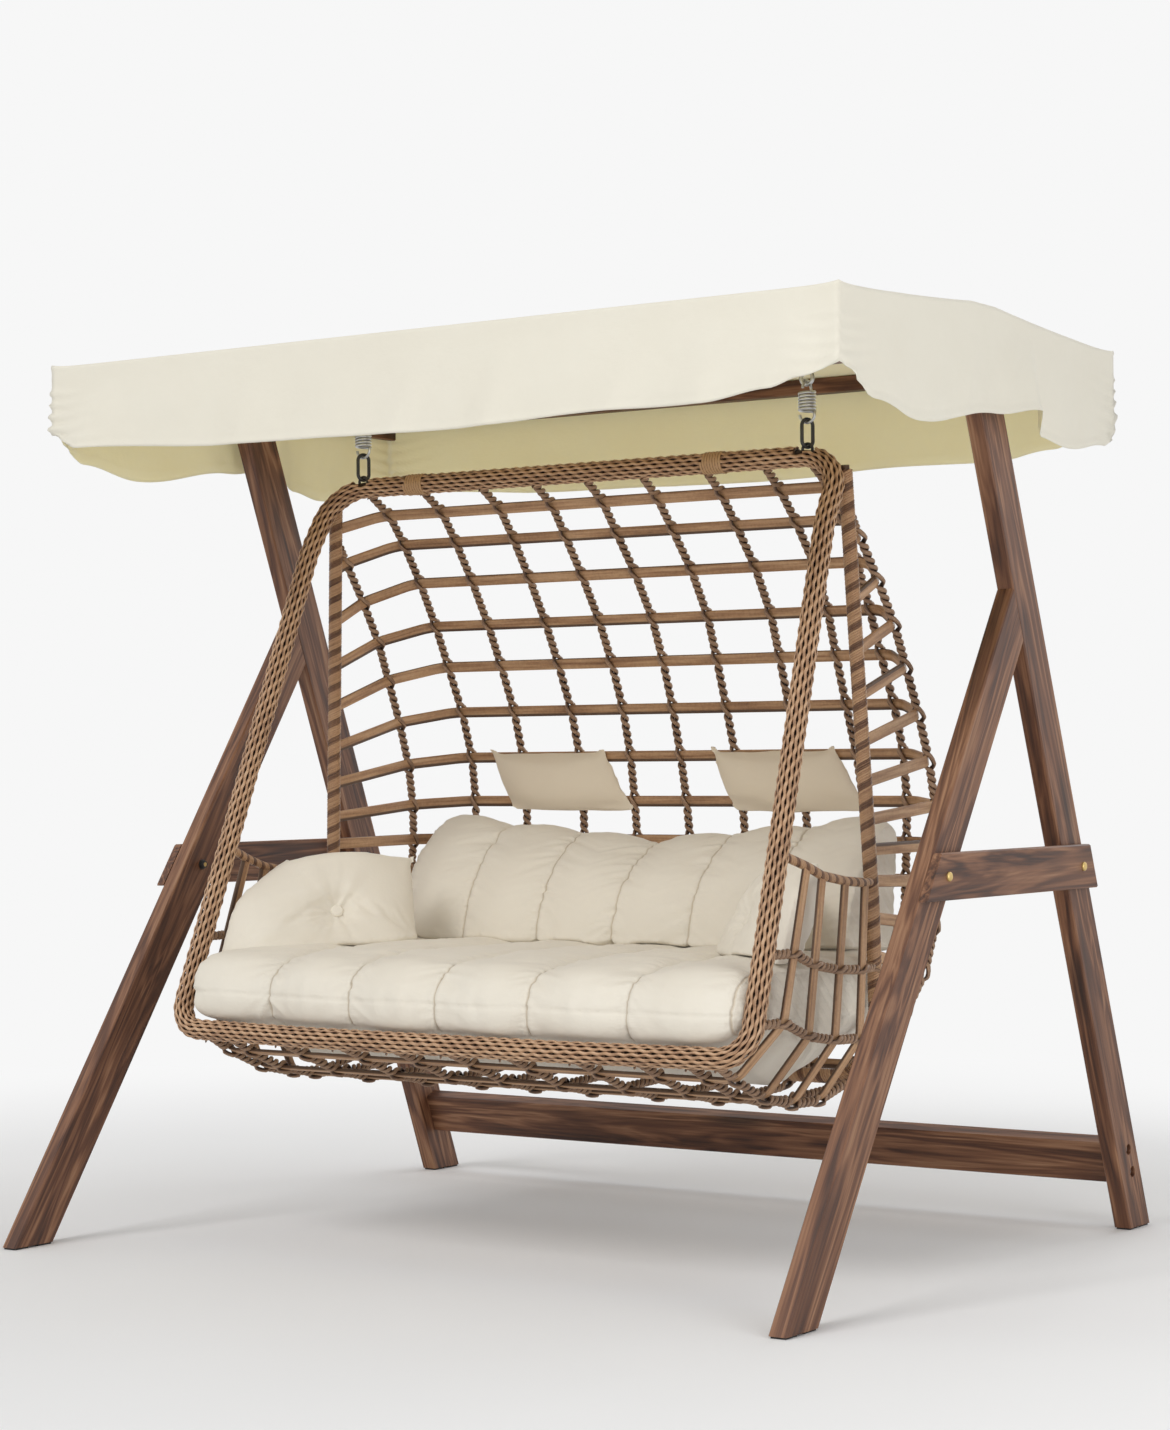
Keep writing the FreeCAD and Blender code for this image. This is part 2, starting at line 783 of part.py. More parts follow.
def eye_nuts():
    """Washer and nut of each eye bolt, sunk in the beam's top."""
    seat = Vector(hang_half_span, hang_y, post_top - counterbore_depth)
    ring = washer(seat, Z_AXIS)
    nut = hexagon_prism(seat + Z_AXIS * washer_thickness, Z_AXIS, nut_radius, nut_height,
                        bolt_radius + hole_clearance)
    return Part.makeCompound([ring, nut, mirrored(ring), mirrored(nut)])


def arc_with_tangent(start, corner, end):
    """Arc from start to end whose end tangents meet at corner."""
    middle = (start + end) * 0.5
    half = end.sub(start).Length / 2
    rise = corner.sub(middle)
    angle = math.atan2(rise.Length, half)
    return Part.Arc(start, middle + rise.normalize() * (half * math.tan(angle / 2)), end).toShape()


def biarc(start, start_run, end, end_run):
    """Two tangent arcs between two points with given directions."""
    chord = end.sub(start)
    both = start_run + end_run
    bend = 2 * (1 - start_run.dot(end_run))
    cross = chord.dot(both)
    reach = (math.sqrt(cross * cross + bend * chord.dot(chord)) - cross) / bend
    first, second = start + start_run * reach, end - end_run * reach
    joint = (first + second) * 0.5
    return [arc_with_tangent(start, first, joint), arc_with_tangent(joint, second, end)]


def coil_point(turn):
    """Point and direction of the coil at an angle above its lower end."""
    angle = hook_angle + turn
    climb = spring_pitch / (2 * math.pi)
    point = Vector(spring_radius * math.cos(angle), spring_radius * math.sin(angle), coil_bottom + climb * turn)
    run = Vector(-spring_radius * math.sin(angle), spring_radius * math.cos(angle), climb)
    return point, run.normalize()


def hook_edges(rim, run, azimuth, up):
    """End of the coil bent upright into a loop over the middle; up is +Z or -Z."""
    foot = rim + run * spring_bend + up * spring_bend
    bend = biarc(rim, run, foot, up)
    radial = Vector(math.cos(azimuth), math.sin(azimuth), 0)
    centre = Vector(0, 0, foot.z)
    reach = Vector(foot.x, foot.y, 0).Length
    edges = list(bend)
    spots = [0, math.pi / 2, math.pi]
    for begin, finish in zip(spots, spots[1:]):
        places = [begin, (begin + finish) / 2, finish]
        arc = [centre + radial * (reach * math.cos(spot)) + up * (reach * math.sin(spot)) for spot in places]
        arc[0] = foot if begin == 0 else arc[0]
        edges.append(Part.Arc(*arc).toShape())
    return edges


def spring_path():
    """Lower loop, coil and upper hook as one wire about the Z axis."""
    steps = math.ceil(coil_angle / (math.pi / 2))
    turns = [coil_angle * step / steps for step in range(steps + 1)]
    first, first_run = coil_point(0)
    last, last_run = coil_point(coil_angle)
    level_first = Vector(-first_run.x, -first_run.y, 0).normalize()
    level_last = Vector(last_run.x, last_run.y, 0).normalize()
    edges = hook_edges(first, level_first, 0, Z_AXIS * -1)
    for begin, finish in zip(turns, turns[1:]):
        start, start_run = coil_point(begin)
        end, end_run = coil_point(finish)
        start_run = level_first * -1 if begin == 0 else start_run
        end_run = level_last if finish == turns[-1] else end_run
        edges += biarc(start, start_run, end, end_run)
    edges += hook_edges(last, level_last, math.pi / 2, Z_AXIS)
    return Part.Wire(Part.sortEdges(edges)[0])


def least_gap(path):
    """Least clear distance between stretches of the spring's wire that lie apart along it."""
    points = path.discretize(Distance=spring_wire_radius)
    apart = int(math.pi * spring_radius / spring_wire_radius)
    least = min(one.distanceToPoint(other) for index, one in enumerate(points) for other in points[index + apart:])
    return least - 2 * spring_wire_radius


def spring(direction):
    """Coil spring with a hook above and a loop below."""
    path = spring_path()
    print("spring self gap", round(least_gap(path), 2))
    return tube(path, spring_wire_radius).translated(Vector(direction * hang_half_span, hang_y, 0))


def hanger_link(direction):
    """Long chain link between the spring's loop and the basket's eye."""
    wide, tall = link_half_width, link_length / 2
    middle = Vector(0, 0, link_top - tall)
    shoulder = tall - wide
    halves = []
    for side in DIRECTIONS:
        low = middle + Z_AXIS * -tall
        high = middle + Z_AXIS * tall
        lower, upper = middle + Vector(side * wide, 0, -shoulder), middle + Vector(side * wide, 0, shoulder)
        turn = wide * math.sqrt(0.5)
        edges = [Part.Arc(low, middle + Vector(side * turn, 0, -shoulder - turn), lower).toShape(),
                 Part.LineSegment(lower, upper).toShape(),
                 Part.Arc(upper, middle + Vector(side * turn, 0, shoulder + turn), high).toShape()]
        halves.append(tube(Part.Wire(edges), link_wire_radius))
    link = halves[0].fuse(halves[1]).removeSplitter()
    link.rotate(Vector(0, 0, 0), Z_AXIS, math.degrees(link_turn))
    return link.translated(Vector(direction * hang_half_span, hang_y, 0))


# Basket hoops
loop_bend_half_width = arm_half_width - loop_bend_inset
front_half_width = arm_half_width + front_outset
hoop_spots = list(zip(hoop_insets, hoop_places, (bar_top - hoop_top_drop,) + hoop_heights))
hoop_top, hoop_knee, hoop_heel, hoop_floor = [(arm_half_width - inset, y, z) for inset, y, z in hoop_spots]


def front_bar_y(x):
    """Y of the bowed front bar's middle line."""
    share = min(abs(x), front_half_width) / front_half_width
    return front_y - front_bow * (1 - share * share)


def loop_half_path():
    """Left half of the front loop, from the middle of the top bar to the middle of the front bar."""
    points = [Vector(0, hang_y, bar_top), Vector(-bar_half_width, hang_y, bar_top),
              Vector(-loop_bend_half_width, loop_bend_y, bar_top - loop_bend_drop),
              Vector(-front_half_width, front_y, front_z),
              Vector(-front_bow_half_width, front_bar_y(front_bow_half_width), front_z),
              Vector(0, front_bar_y(front_bow_half_width), front_z)]
    return rounded_path(points, [loop_top_radius, loop_bend_radius, loop_front_radius, loop_bow_radius])


def hoop_half_path():
    """Left half of the side hoop: post, heel and half of the bar under the seat."""
    spots = [hoop_top, hoop_knee, hoop_heel, hoop_floor]
    points = [Vector(-x, y, z) for x, y, z in spots]
    points.append(Vector(0, hoop_floor[1], hoop_floor[2]))
    return rounded_path(points, [hoop_knee_radius, hoop_bend_radius, hoop_bend_radius])


def hoop_at(z):
    """Middle of the right post at a height."""
    spots = (hoop_top, hoop_knee) if z > hoop_knee[2] else (hoop_knee, hoop_heel)
    share = (spots[0][2] - z) / (spots[0][2] - spots[1][2])
    return Vector(*spots[0]) + Vector(*spots[1]).sub(Vector(*spots[0])) * share


def loop_side_at(z):
    """Middle of the loop's right side at a height."""
    low = Vector(front_half_width, front_y, front_z)
    high = Vector(loop_bend_half_width, loop_bend_y, bar_top - loop_bend_drop)
    return low + high.sub(low) * ((z - low.z) / (high.z - low.z))


def hanging_eyes():
    """Wire eyes welded on the loop's tube, one under each link."""
    foot = bar_top
    shoulder = staple_top - staple_half_width
    eyes = []
    for direction in DIRECTIONS:
        middle = Vector(direction * hang_half_span, hang_y, 0)
        turn = staple_half_width * math.sqrt(0.5)
        left, right = Vector(-staple_half_width, 0, 0), Vector(staple_half_width, 0, 0)
        rise = Z_AXIS * shoulder
        top = middle + Z_AXIS * staple_top
        edges = [Part.LineSegment(middle + left + Z_AXIS * foot, middle + left + rise).toShape(),
                 Part.Arc(middle + left + rise, middle + Vector(-turn, 0, shoulder + turn), top).toShape(),
                 Part.Arc(top, middle + Vector(turn, 0, shoulder + turn), middle + right + rise).toShape(),
                 Part.LineSegment(middle + right + rise, middle + right + Z_AXIS * foot).toShape()]
        eyes.append(tube(Part.Wire(edges), staple_wire_radius))
    return eyes


def eye_notches():
    """Room in the braid round each hanging eye and its link."""
    along = staple_half_width + 3 * staple_wire_radius
    across = link_half_width + 2 * link_wire_radius
    notches = []
    for direction in DIRECTIONS:
        x = direction * hang_half_span
        notches.append(box((x - along, hang_y - across, bar_top + loop_tube_radius / 2),
                           (x + along, hang_y + across, staple_top)))
    return notches


def bands_over(radius, length):
    """Rounds on the top bar at each binding band."""
    rounds = []
    for share in band_shares:
        middle = bar_half_width * share
        rounds.append(rod(Vector(middle - length / 2, hang_y, bar_top),
                          Vector(middle + length / 2, hang_y, bar_top), radius))
    return rounds


# Rails, strips and arms
corner_half_width = arm_half_width - corner_inset
arm_x = arm_half_width + arm_outset
strip_bend_x = arm_half_width + strip_bend_outset
strip_floor_x = arm_half_width - strip_floor_inset
strip_floors = list(zip(strip_floor_places, strip_floor_heights))


def rail_line(index):
    """Corners of a back rail from left to right, and the normal of the plane that it lies in."""
    height = bar_top - seat_low
    end = hoop_at(seat_low + height * rail_end_shares[index])
    corner = Vector(corner_half_width, hang_y + back_reach * rail_reach_shares[index],
                    seat_low + height * rail_rise_shares[index])
    slope = (corner.z - end.z) / (corner.y - end.y)
    right = [end]
    if corner.y - corner_chamfer - end.y > 2 * wrap_radius:
        side_y = corner.y - corner_chamfer
        right.append(Vector(end.x, side_y, end.z + slope * (side_y - end.y)))
    right.append(corner)
    left = [Vector(-point.x, point.y, point.z) for point in right]
    return left + right[::-1], Vector(0, -slope, 1).normalize()


def back_rail(index, gap):
    """Flat rail from post to post round the back, grown by gap."""
    points, normal = rail_line(index)
    path = rounded_path(points, [rail_bend_radius] * (len(points) - 2))
    return flat_bar(path, normal, rail_width + 2 * gap, rail_thickness + 2 * gap)


def strip_line(index):
    """Corners of a seat strip from the left arm, under the seat, to the right arm, and its plane's normal."""
    top = Vector(arm_x, strip_top_places[index], strip_tops[index])
    floor = Vector(strip_floor_x, *strip_floors[index])
    lean = (top.y - floor.y) / (top.z - floor.z)
    bend_z = strip_bend_heights[index]
    right = [top, Vector(strip_bend_x, floor.y + lean * (bend_z - floor.z), bend_z), floor]
    left = [Vector(-point.x, point.y, point.z) for point in right]
    return left + right[::-1], Vector(0, 1, -lean).normalize()


def seat_strip(index, gap):
    """Flat strip across the seat, grown by gap."""
    points, normal = strip_line(index)
    path = rounded_path(points, [strip_bend_radius] * (len(points) - 2))
    return flat_bar(path, normal, rail_width + 2 * gap, rail_thickness + 2 * gap)


def arm_rod(gap):
    """Right arm: a wrapped rod from the loop's side to the post, grown by gap."""
    last = hoop_at(strip_tops[-1])
    points = [loop_side_at(arm_front_z)]
    points += [Vector(arm_x, y, z) for y, z in zip(strip_top_places, strip_tops)]
    points.append(Vector(last.x, last.y, strip_tops[-1]))
    return rope(points, Z_AXIS, arm_radius + gap)


# Ropes
rope_half_span = corner_half_width - rope_inset


def back_rope_points(x):
    """Route of a rope: top bar, down the back rails, under the seat, up to the front bar."""
    height = bar_top - seat_low
    points = [Vector(x, hang_y, bar_top)]
    for rise, reach in zip(rail_rise_shares, rail_reach_shares):
        points.append(Vector(x, hang_y + back_reach * reach, seat_low + height * rise))
    under = wrap_radius + rope_radius + rope_gap
    points.append(Vector(x, hoop_floor[1], hoop_floor[2] - under))
    outer = max(abs(x) - strip_floor_x, 0)
    for y, z in strip_floors[::-1]:
        points.append(Vector(x, y, z + outer))
    points.append(Vector(x, front_bar_y(x), front_z))
    return points


def side_rope_points():
    """Route of the right side rope down the rails' first bends."""
    points = []
    for index in range(side_rope_start, len(rail_end_shares)):
        line, normal = rail_line(index)
        if len(line) == 6:
            points.append(line[-2])
    first = points[0] + (points[0] - points[1]) * 0.5
    last = points[-1] + (points[-1] - points[-2]) * 0.5
    return [first] + points + [last]


def arm_rope_points(share):
    """Route of a right arm rope across the strips, share of the way down to their bends."""
    points = []
    for index in range(len(strip_tops)):
        bend, top = strip_line(index)[0][-2:]
        points.append(top + bend.sub(top) * share)
    return [loop_side_at(points[0].z)] + points + [hoop_at(points[-1].z)]


def floor_rope_points():
    """Route of the right rope along the seat's lower corner."""
    points = [Vector(strip_floor_x, y, z) for y, z in strip_floors]
    start = Vector(points[0].x, front_bar_y(points[0].x), front_z)
    return [start] + points + [Vector(*hoop_floor)]


# Cushions
seat_half_width = arm_half_width - seat_inset
seat_floor_half_width = seat_half_width - seat_floor_inset
seat_heel_half_width = seat_half_width - seat_heel_inset
back_half_width = corner_half_width
pillow_x = seat_half_width - pillow_inset
pillow_wall = arm_half_width - pillow_wall_inset


def channel_stations():
    """Shares of a cushion's half width, from seam to seam, where its outline is drawn."""
    count = 2 * channels * channel_steps // 2
    return [step / (count / 2) - 1 for step in range(count + 1)]


def seam_share(share):
    """1 on a seam between two channels, 0 in the middle of a channel."""
    inside = min(abs(share), 1 - 1 / channels)
    return abs(math.cos(inside * channels * math.pi / 2)) ** seam_sharpness


def end_share(share):
    """0 up to the middle of the last channel, then 1 at the cushion's end."""
    past = max(0, abs(share) - (1 - 1 / channels)) * channels
    return 1 - math.sqrt(1 - min(past, 1) ** 2)


def seat_section(share, grow):
    """Outline of the seat cushion at a share of its half width."""
    x = (seat_half_width + grow) * share
    sink = seam_depth * seam_share(share)
    end = end_share(share)
    rise = max(0, abs(x) - seat_floor_half_width) / seat_floor_inset * seat_end_rise
    heel_rise = max(0, abs(x) - seat_heel_half_width) / seat_heel_inset * seat_heel_rise
    drop = seat_end_drop * end + sink
    front = front_bar_y(x) + seat_front_set + sink + seat_end_round * end - grow
    rear_y = seat_rear - seat_end_draw * end + grow
    bottom = max(front_z + braid_radius + seat_gap, seat_thigh[1] + rise) - grow
    foot = Vector(x, front, bottom)
    spots = [Vector(x, y, z + rise - grow) for y, z in (seat_thigh, seat_belly)]
    spots.append(Vector(x, min(seat_heel[0], rear_y - seam_depth), seat_heel[1] + heel_rise - grow))
    rear = Vector(x, rear_y, max(seat_rear_z, seat_heel[1] + heel_rise))
    back_top = Vector(x, rear_y, seat_top_rear - drop + grow)
    front_top = Vector(x, front + seat_front_round, seat_top_front - drop + grow)
    tall = (front_top.z - foot.z) / (seat_top_front - front_z)
    pieces = [(foot, spots[0]), (spots[0], spots[1]), (spots[1], spots[2]), (spots[2], rear), (rear, back_top),
              bowed(back_top, front_top, Z_AXIS * seat_crown),
              bowed(front_top, foot, Vector(0, -seat_front_bulge * tall, seat_front_bulge * tall / 2))]
    return arc_wire(pieces)


def seat_cushion(grow):
    """Channelled seat cushion, grown by grow."""
    return Part.makeLoft([seat_section(share, grow) for share in channel_stations()], True, True)


def back_section(share, grow):
    """Outline of the back cushion at a share of its half width."""
    x = (back_half_width + grow) * share
    drop = back_end_draw * end_share(share) + seam_depth * seam_share(share)
    crest = back_crest_z + back_crest_lift * abs(share) - drop
    foot = Vector(x, back_foot_y + drop - grow, back_foot_z - grow)
    front_top = Vector(x, back_crest_y + drop / 2 - grow, crest)
    rear_top = Vector(x, back_rear_y - drop + grow, crest)
    heel = Vector(x, back_heel_y - drop + grow, back_foot_z - grow)
    out = Vector(0, -back_bulge, back_bulge / 2)
    pieces = [bowed(foot, front_top, out), bowed(front_top, rear_top, Z_AXIS * (back_crown + grow)),
              (rear_top, heel), (heel, foot)]
    return arc_wire(pieces)


def back_cushion(grow):
    """Channelled back cushion, grown by grow."""
    raw = Part.makeLoft([back_section(share, grow) for share in channel_stations()], True, True)
    return largest(cleared(raw, [seat_cushion(grow + cushion_gap)]))


pillow_shares = (-1.0, -0.86, -0.5, 0.0, 0.5, 0.86, 1.0)
pillow_chord_shares = (1.0, 0.97, 0.93, 0.91, 0.93, 0.97, 1.0)
pillow_crown_shares = (0.0, 0.42, 0.86, 1.0, 0.86, 0.42, 0.0)


def pillow(width, height, thickness, skew):
    """Pillow about the origin: width along X, height along Z, face to -Y, corners drawn out."""
    wires = []
    for share, chord, crown in zip(pillow_shares, pillow_chord_shares, pillow_crown_shares):
        x = width / 2 * share * (1 if abs(share) == 1 else 0.985)
        high = Vector(x - skew / 2, 0, height / 2 * chord)
        low = Vector(x + skew / 2, 0, -height / 2 * chord)
        out = Y_AXIS * (edge_seam + (thickness / 2 - edge_seam) * crown)
        wires.append(arc_wire([bowed(low, high, out * -1), bowed(high, low, out)]))
    return Part.makeLoft(wires, True, False)


def side_pillow_frame(shape, y):
    """Place a shape drawn about the origin as a right side pillow at y leans."""
    shape.rotate(Vector(0, 0, 0), X_AXIS, -math.degrees(pillow_tip))
    shape.rotate(Vector(0, 0, 0), Z_AXIS, -math.degrees(pillow_turn))
    return shape.translated(Vector(pillow_x, y, pillow_z))


def side_pillow(y):
    """Right side pillow at y with its tuft, resting in the corner of the seat."""
    raw = pillow(pillow_width, pillow_height, pillow_thickness, 0)
    face = -pillow_thickness / 2 * pillow_crown_shares[3]
    tuft = Part.makeCone(tuft_radius, button_radius + cushion_gap, tuft_depth, Vector(0, face, 0), Y_AXIS)
    shaped = side_pillow_frame(raw.cut(tuft), y)
    wall = box((pillow_wall, -foot_half_spread, 0), (stand_half_width, foot_half_spread, post_top))
    return largest(cleared(shaped, [seat_cushion(cushion_gap), back_cushion(cushion_gap), wall]))


def pillow_button(y):
    """Covered button of a right side pillow at y."""
    seat = -pillow_thickness / 2 + tuft_depth - seat_gap
    disc = Part.makeCylinder(button_radius, button_height, Vector(0, seat, 0), Y_AXIS * -1)
    rim = [edge for edge in disc.Edges if edge.Closed and edge.CenterOfMass.y < seat - button_height / 2]
    return side_pillow_frame(disc.makeFillet(button_height * 0.7, rim), y)


def head_pillow(middle_x):
    """Small head pillow lying against the ropes between two back rails."""
    upper, lower = rail_line(head_upper_rail)[0][2], rail_line(head_lower_rail)[0][2]
    rise = upper.sub(lower)
    rise.x = 0
    tilt = math.atan2(-rise.y, rise.z)
    normal = Vector(0, -math.cos(tilt), -math.sin(tilt))
    stand_off = rope_radius + head_gap
    spot = Vector(middle_x, (upper.y + lower.y) / 2, (upper.z + lower.z) / 2) + normal * stand_off
    raw = pillow(head_width, head_height, head_thickness, head_skew)
    flat = box((-head_width, 0, -head_height), (head_width, head_thickness, head_height))
    raw = largest(raw.cut(flat).Solids)
    raw.rotate(Vector(0, 0, 0), X_AXIS, math.degrees(tilt))
    return raw.translated(spot)


# Assembly
def basket_nodes():
    """Hoops, rails, strips, arms and ropes of the basket."""
    nodes = {}
    loop_path, hoop_path = loop_half_path(), hoop_half_path()
    loop_core, hoop_core = whole(tube(loop_path, loop_tube_radius)), whole(tube(hoop_path, hoop_tube_radius))
    braid_room = whole(tube(loop_path, braid_radius + seat_gap))
    hoop_room = whole(tube(hoop_path, wrap_radius + seat_gap))
    eyes = [largest(cleared(eye, [loop_core])) for eye in hanging_eyes()]
    nodes["loop_tube"] = loop_core.cut(whole(tube(loop_path, loop_tube_radius - tube_wall)))
    nodes["hanging_eyes"] = Part.makeCompound(eyes)
    braid = whole(tube(loop_path, braid_radius)).cut(whole(tube(loop_path, loop_tube_radius + seat_gap)))
    band_room = bands_over(braid_radius + cut_overrun, band_length + 2 * seat_gap)
    nodes["loop_braid"] = Part.makeCompound(braid.cut(eye_notches() + band_room).Solids)
    core_room = bands_over(loop_tube_radius + seat_gap, band_length + cut_overrun)
    bands = [band.cut(core) for band, core in zip(bands_over(band_radius, band_length), core_room)]
    nodes["binding_bands"] = Part.makeCompound(bands)
    band_rooms = bands_over(band_radius + seat_gap, band_length + 2 * seat_gap)
    wrap = largest(cleared(whole(tube(hoop_path, wrap_radius)), [braid_room]))
    nodes["hoop_wrap"] = wrap.cut(whole(tube(hoop_path, hoop_tube_radius + seat_gap)))
    nodes["hoop_tube"] = largest(cleared(hoop_core, [braid_room])).cut(
        whole(tube(hoop_path, hoop_tube_radius - tube_wall)))
    arm_room = arm_rod(seat_gap)
    arm_rooms = [arm_room, mirrored(arm_room)]
    arm = largest(cleared(arm_rod(0), [braid_room, hoop_room]))
    nodes["arm_rod_right"], nodes["arm_rod_left"] = arm, mirrored(arm)
    rails = range(len(rail_end_shares))
    lower = []
    for index in rails:
        rail = largest(cleared(back_rail(index, 0), [hoop_room]))
        if index < upper_rails:
            nodes["back_rail_%02d" % (index + 1)] = rail
        else:
            lower.append(rail)
    nodes["lower_rails"] = Part.makeCompound(lower)
    strips = range(len(strip_tops))
    nodes["seat_strips"] = Part.makeCompound(
        [largest(cleared(seat_strip(index, 0), arm_rooms)) for index in strips])
    rooms = [back_rail(index, rope_gap) for index in rails] + [seat_strip(index, rope_gap) for index in strips]
    stops = [braid_room, hoop_room] + band_rooms
    ropes = []
    for share in rope_shares:
        line = rope(back_rope_points(rope_half_span * share), X_AXIS, rope_radius)
        ropes.append(largest(cleared(line, rooms + stops)))
    nodes["back_ropes"] = Part.makeCompound(ropes)
    routes = [(side_rope_points(), X_AXIS)] + [(arm_rope_points(share), X_AXIS) for share in side_row_shares]
    routes.append((floor_rope_points(), X_AXIS))
    side_ropes = []
    for points, across in routes:
        line = largest(cleared(rope(points, across, rope_radius), rooms + stops + arm_rooms + ropes))
        side_ropes += [line, mirrored(line)]
    nodes["side_ropes"] = Part.makeCompound(side_ropes)
    return nodes


def cushion_nodes():
    """Cushions, pillows and buttons."""
    button_right, button_left = pillow_button(pillow_right_y), mirrored(pillow_button(pillow_left_y))
    return {
        "seat_cushion": seat_cushion(0),
        "back_cushion": back_cushion(0),
        "side_pillow_right": side_pillow(pillow_right_y),
        "side_pillow_left": mirrored(side_pillow(pillow_left_y)),
        "pillow_buttons": Part.makeCompound([button_right, button_left]),
        "head_pillow_left": head_pillow(corner_half_width * head_shares[0]),
        "head_pillow_right": head_pillow(corner_half_width * head_shares[1]),
    }


def stand_nodes():
    """Timber stand with its bolts and pads."""
    post, leg, tie = rear_post(), front_leg(), side_tie()
    return {
        "rear_post_right": post, "rear_post_left": mirrored(post),
        "front_leg_right": leg, "front_leg_left": mirrored(leg),
        "side_tie_right": tie, "side_tie_left": mirrored(tie),
        "rear_stretcher": rear_stretcher(),
        "top_beam": top_beam(),
        "foot_pads": foot_pads(),
        "tie_bolts": tie_bolts(), "tie_nuts": tie_nuts(),
        "cross_bolts": end_bolts(end_bolt_places(stretcher_centre(), post_grain)
                                 + end_bolt_places(beam_centre(), Z_AXIS)),
        "apex_bolts": apex_bolts(),
    }


def canopy_nodes():
    """Canopy frame and cloth."""
    arm, side = canopy_arm(), valance_side()
    front_place, rear_place = rail_screw_places()
    return {
        "canopy_arm_right": arm, "canopy_arm_left": mirrored(arm),
        "canopy_rail_front": canopy_rail(front_place), "canopy_rail_rear": canopy_rail(rear_place),
        "canopy_arm_bolts": canopy_arm_bolts(), "canopy_screws": canopy_screws(),
        "canopy_roof": canopy_roof(),
        "valance_front": valance_end(Y_AXIS * -1, front_hem_drop),
        "valance_rear": valance_end(Y_AXIS, rear_hem_drop),
        "valance_right": side, "valance_left": mirrored(side),
    }


def hanger_nodes():
    """Eye bolts, springs and links."""
    eye = eye_bolt()
    return {
        "eye_bolts": Part.makeCompound([eye, mirrored(eye)]),
        "eye_nuts": eye_nuts(),
        "spring_right": spring(1), "spring_left": spring(-1),
        "hanger_link_right": hanger_link(1), "hanger_link_left": hanger_link(-1),
    }


def build():
    """Write one file for each node."""
    os.makedirs("parts", exist_ok=True)
    for group in (stand_nodes, canopy_nodes, hanger_nodes, basket_nodes, cushion_nodes):
        for name, shape in group().items():
            shape.exportStep("parts/" + name + ".step")


build()
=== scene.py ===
import math

import bmesh
import bpy
from mathutils import Matrix, Vector, noise


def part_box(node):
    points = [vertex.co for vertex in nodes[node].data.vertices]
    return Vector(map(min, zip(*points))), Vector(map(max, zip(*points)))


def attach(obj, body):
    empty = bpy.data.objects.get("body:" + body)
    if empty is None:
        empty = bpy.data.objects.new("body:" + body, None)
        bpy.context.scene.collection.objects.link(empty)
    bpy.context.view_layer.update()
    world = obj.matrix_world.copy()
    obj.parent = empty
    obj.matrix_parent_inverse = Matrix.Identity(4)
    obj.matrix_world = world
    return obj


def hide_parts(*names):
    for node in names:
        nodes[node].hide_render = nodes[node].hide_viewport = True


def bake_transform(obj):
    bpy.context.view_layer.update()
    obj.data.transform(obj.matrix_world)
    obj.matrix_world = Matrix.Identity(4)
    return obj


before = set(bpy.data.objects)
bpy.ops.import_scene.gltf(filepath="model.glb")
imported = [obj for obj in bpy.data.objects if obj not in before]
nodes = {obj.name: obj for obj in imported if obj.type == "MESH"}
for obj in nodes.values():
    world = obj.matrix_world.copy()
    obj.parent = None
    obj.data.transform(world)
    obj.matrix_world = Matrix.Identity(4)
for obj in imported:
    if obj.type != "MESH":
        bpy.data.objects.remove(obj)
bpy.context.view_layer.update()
scene = bpy.context.scene

# Loop and hoop of the basket: sizes and places in metres, as in the solids
hang_y = -0.0225
bar_top = 1.714
bar_half_width = 0.6865
hang_half_span = 0.6025
loop_bend_half_width = 0.6938
loop_bend_y = -0.114
loop_bend_drop = 0.154
front_half_width = 0.7464
front_y = -0.5243
front_z = 0.476
front_bow = 0.058
front_bow_half_width = 0.340
loop_bends = (0.100, 0.420, 0.068, 0.900)
loop_radius = 0.0245
band_shares = (-0.645, 0.541)
band_half_width = 0.025
eye_gap = 0.0235
eye_notch = 0.007
hoop_line = ((0.690, -0.017, 1.690), (0.7305, 0.013, 0.760), (0.722, 0.040, 0.500),
             (0.656, 0.060, 0.385))
hoop_bends = (0.600, 0.090, 0.090)
hoop_start_share = 0.012

# Rails, strips and arms
rail_width = 0.026
rail_thickness = 0.009
rail_bend = 0.060
corner_half_width = 0.622
corner_chamfer = 0.097
least_side = 0.032
seat_low = 0.340
back_reach = 0.443
rail_end_shares = (0.932, 0.862, 0.773, 0.696, 0.626, 0.555, 0.493, 0.435, 0.389, 0.341,
                   0.284, 0.226, 0.182, 0.142)
rail_rise_shares = (0.957, 0.908, 0.844, 0.769, 0.698, 0.618, 0.537, 0.459, 0.392, 0.331,
                    0.255, 0.175, 0.102, 0.044)
rail_reach_shares = (0.204, 0.339, 0.496, 0.640, 0.740, 0.850, 0.939, 0.988, 1.0, 0.986,
                     0.943, 0.841, 0.660, 0.412)
flipped_rails = (0, 2, 4, 8)
arm_x = 0.744
arm_front_z = 0.878
arm_bend = 0.1
strip_top_places = (-0.287, -0.224, -0.128, -0.044)
strip_tops = (0.849, 0.828, 0.8135, 0.807)
strip_bend_x = 0.752
strip_bend_heights = (0.540, 0.505, 0.489, 0.485)
strip_floor_x = 0.664
strip_floors = ((-0.440, 0.423), (-0.330, 0.378), (-0.218, 0.355), (-0.105, 0.352))
strip_bend = 0.045

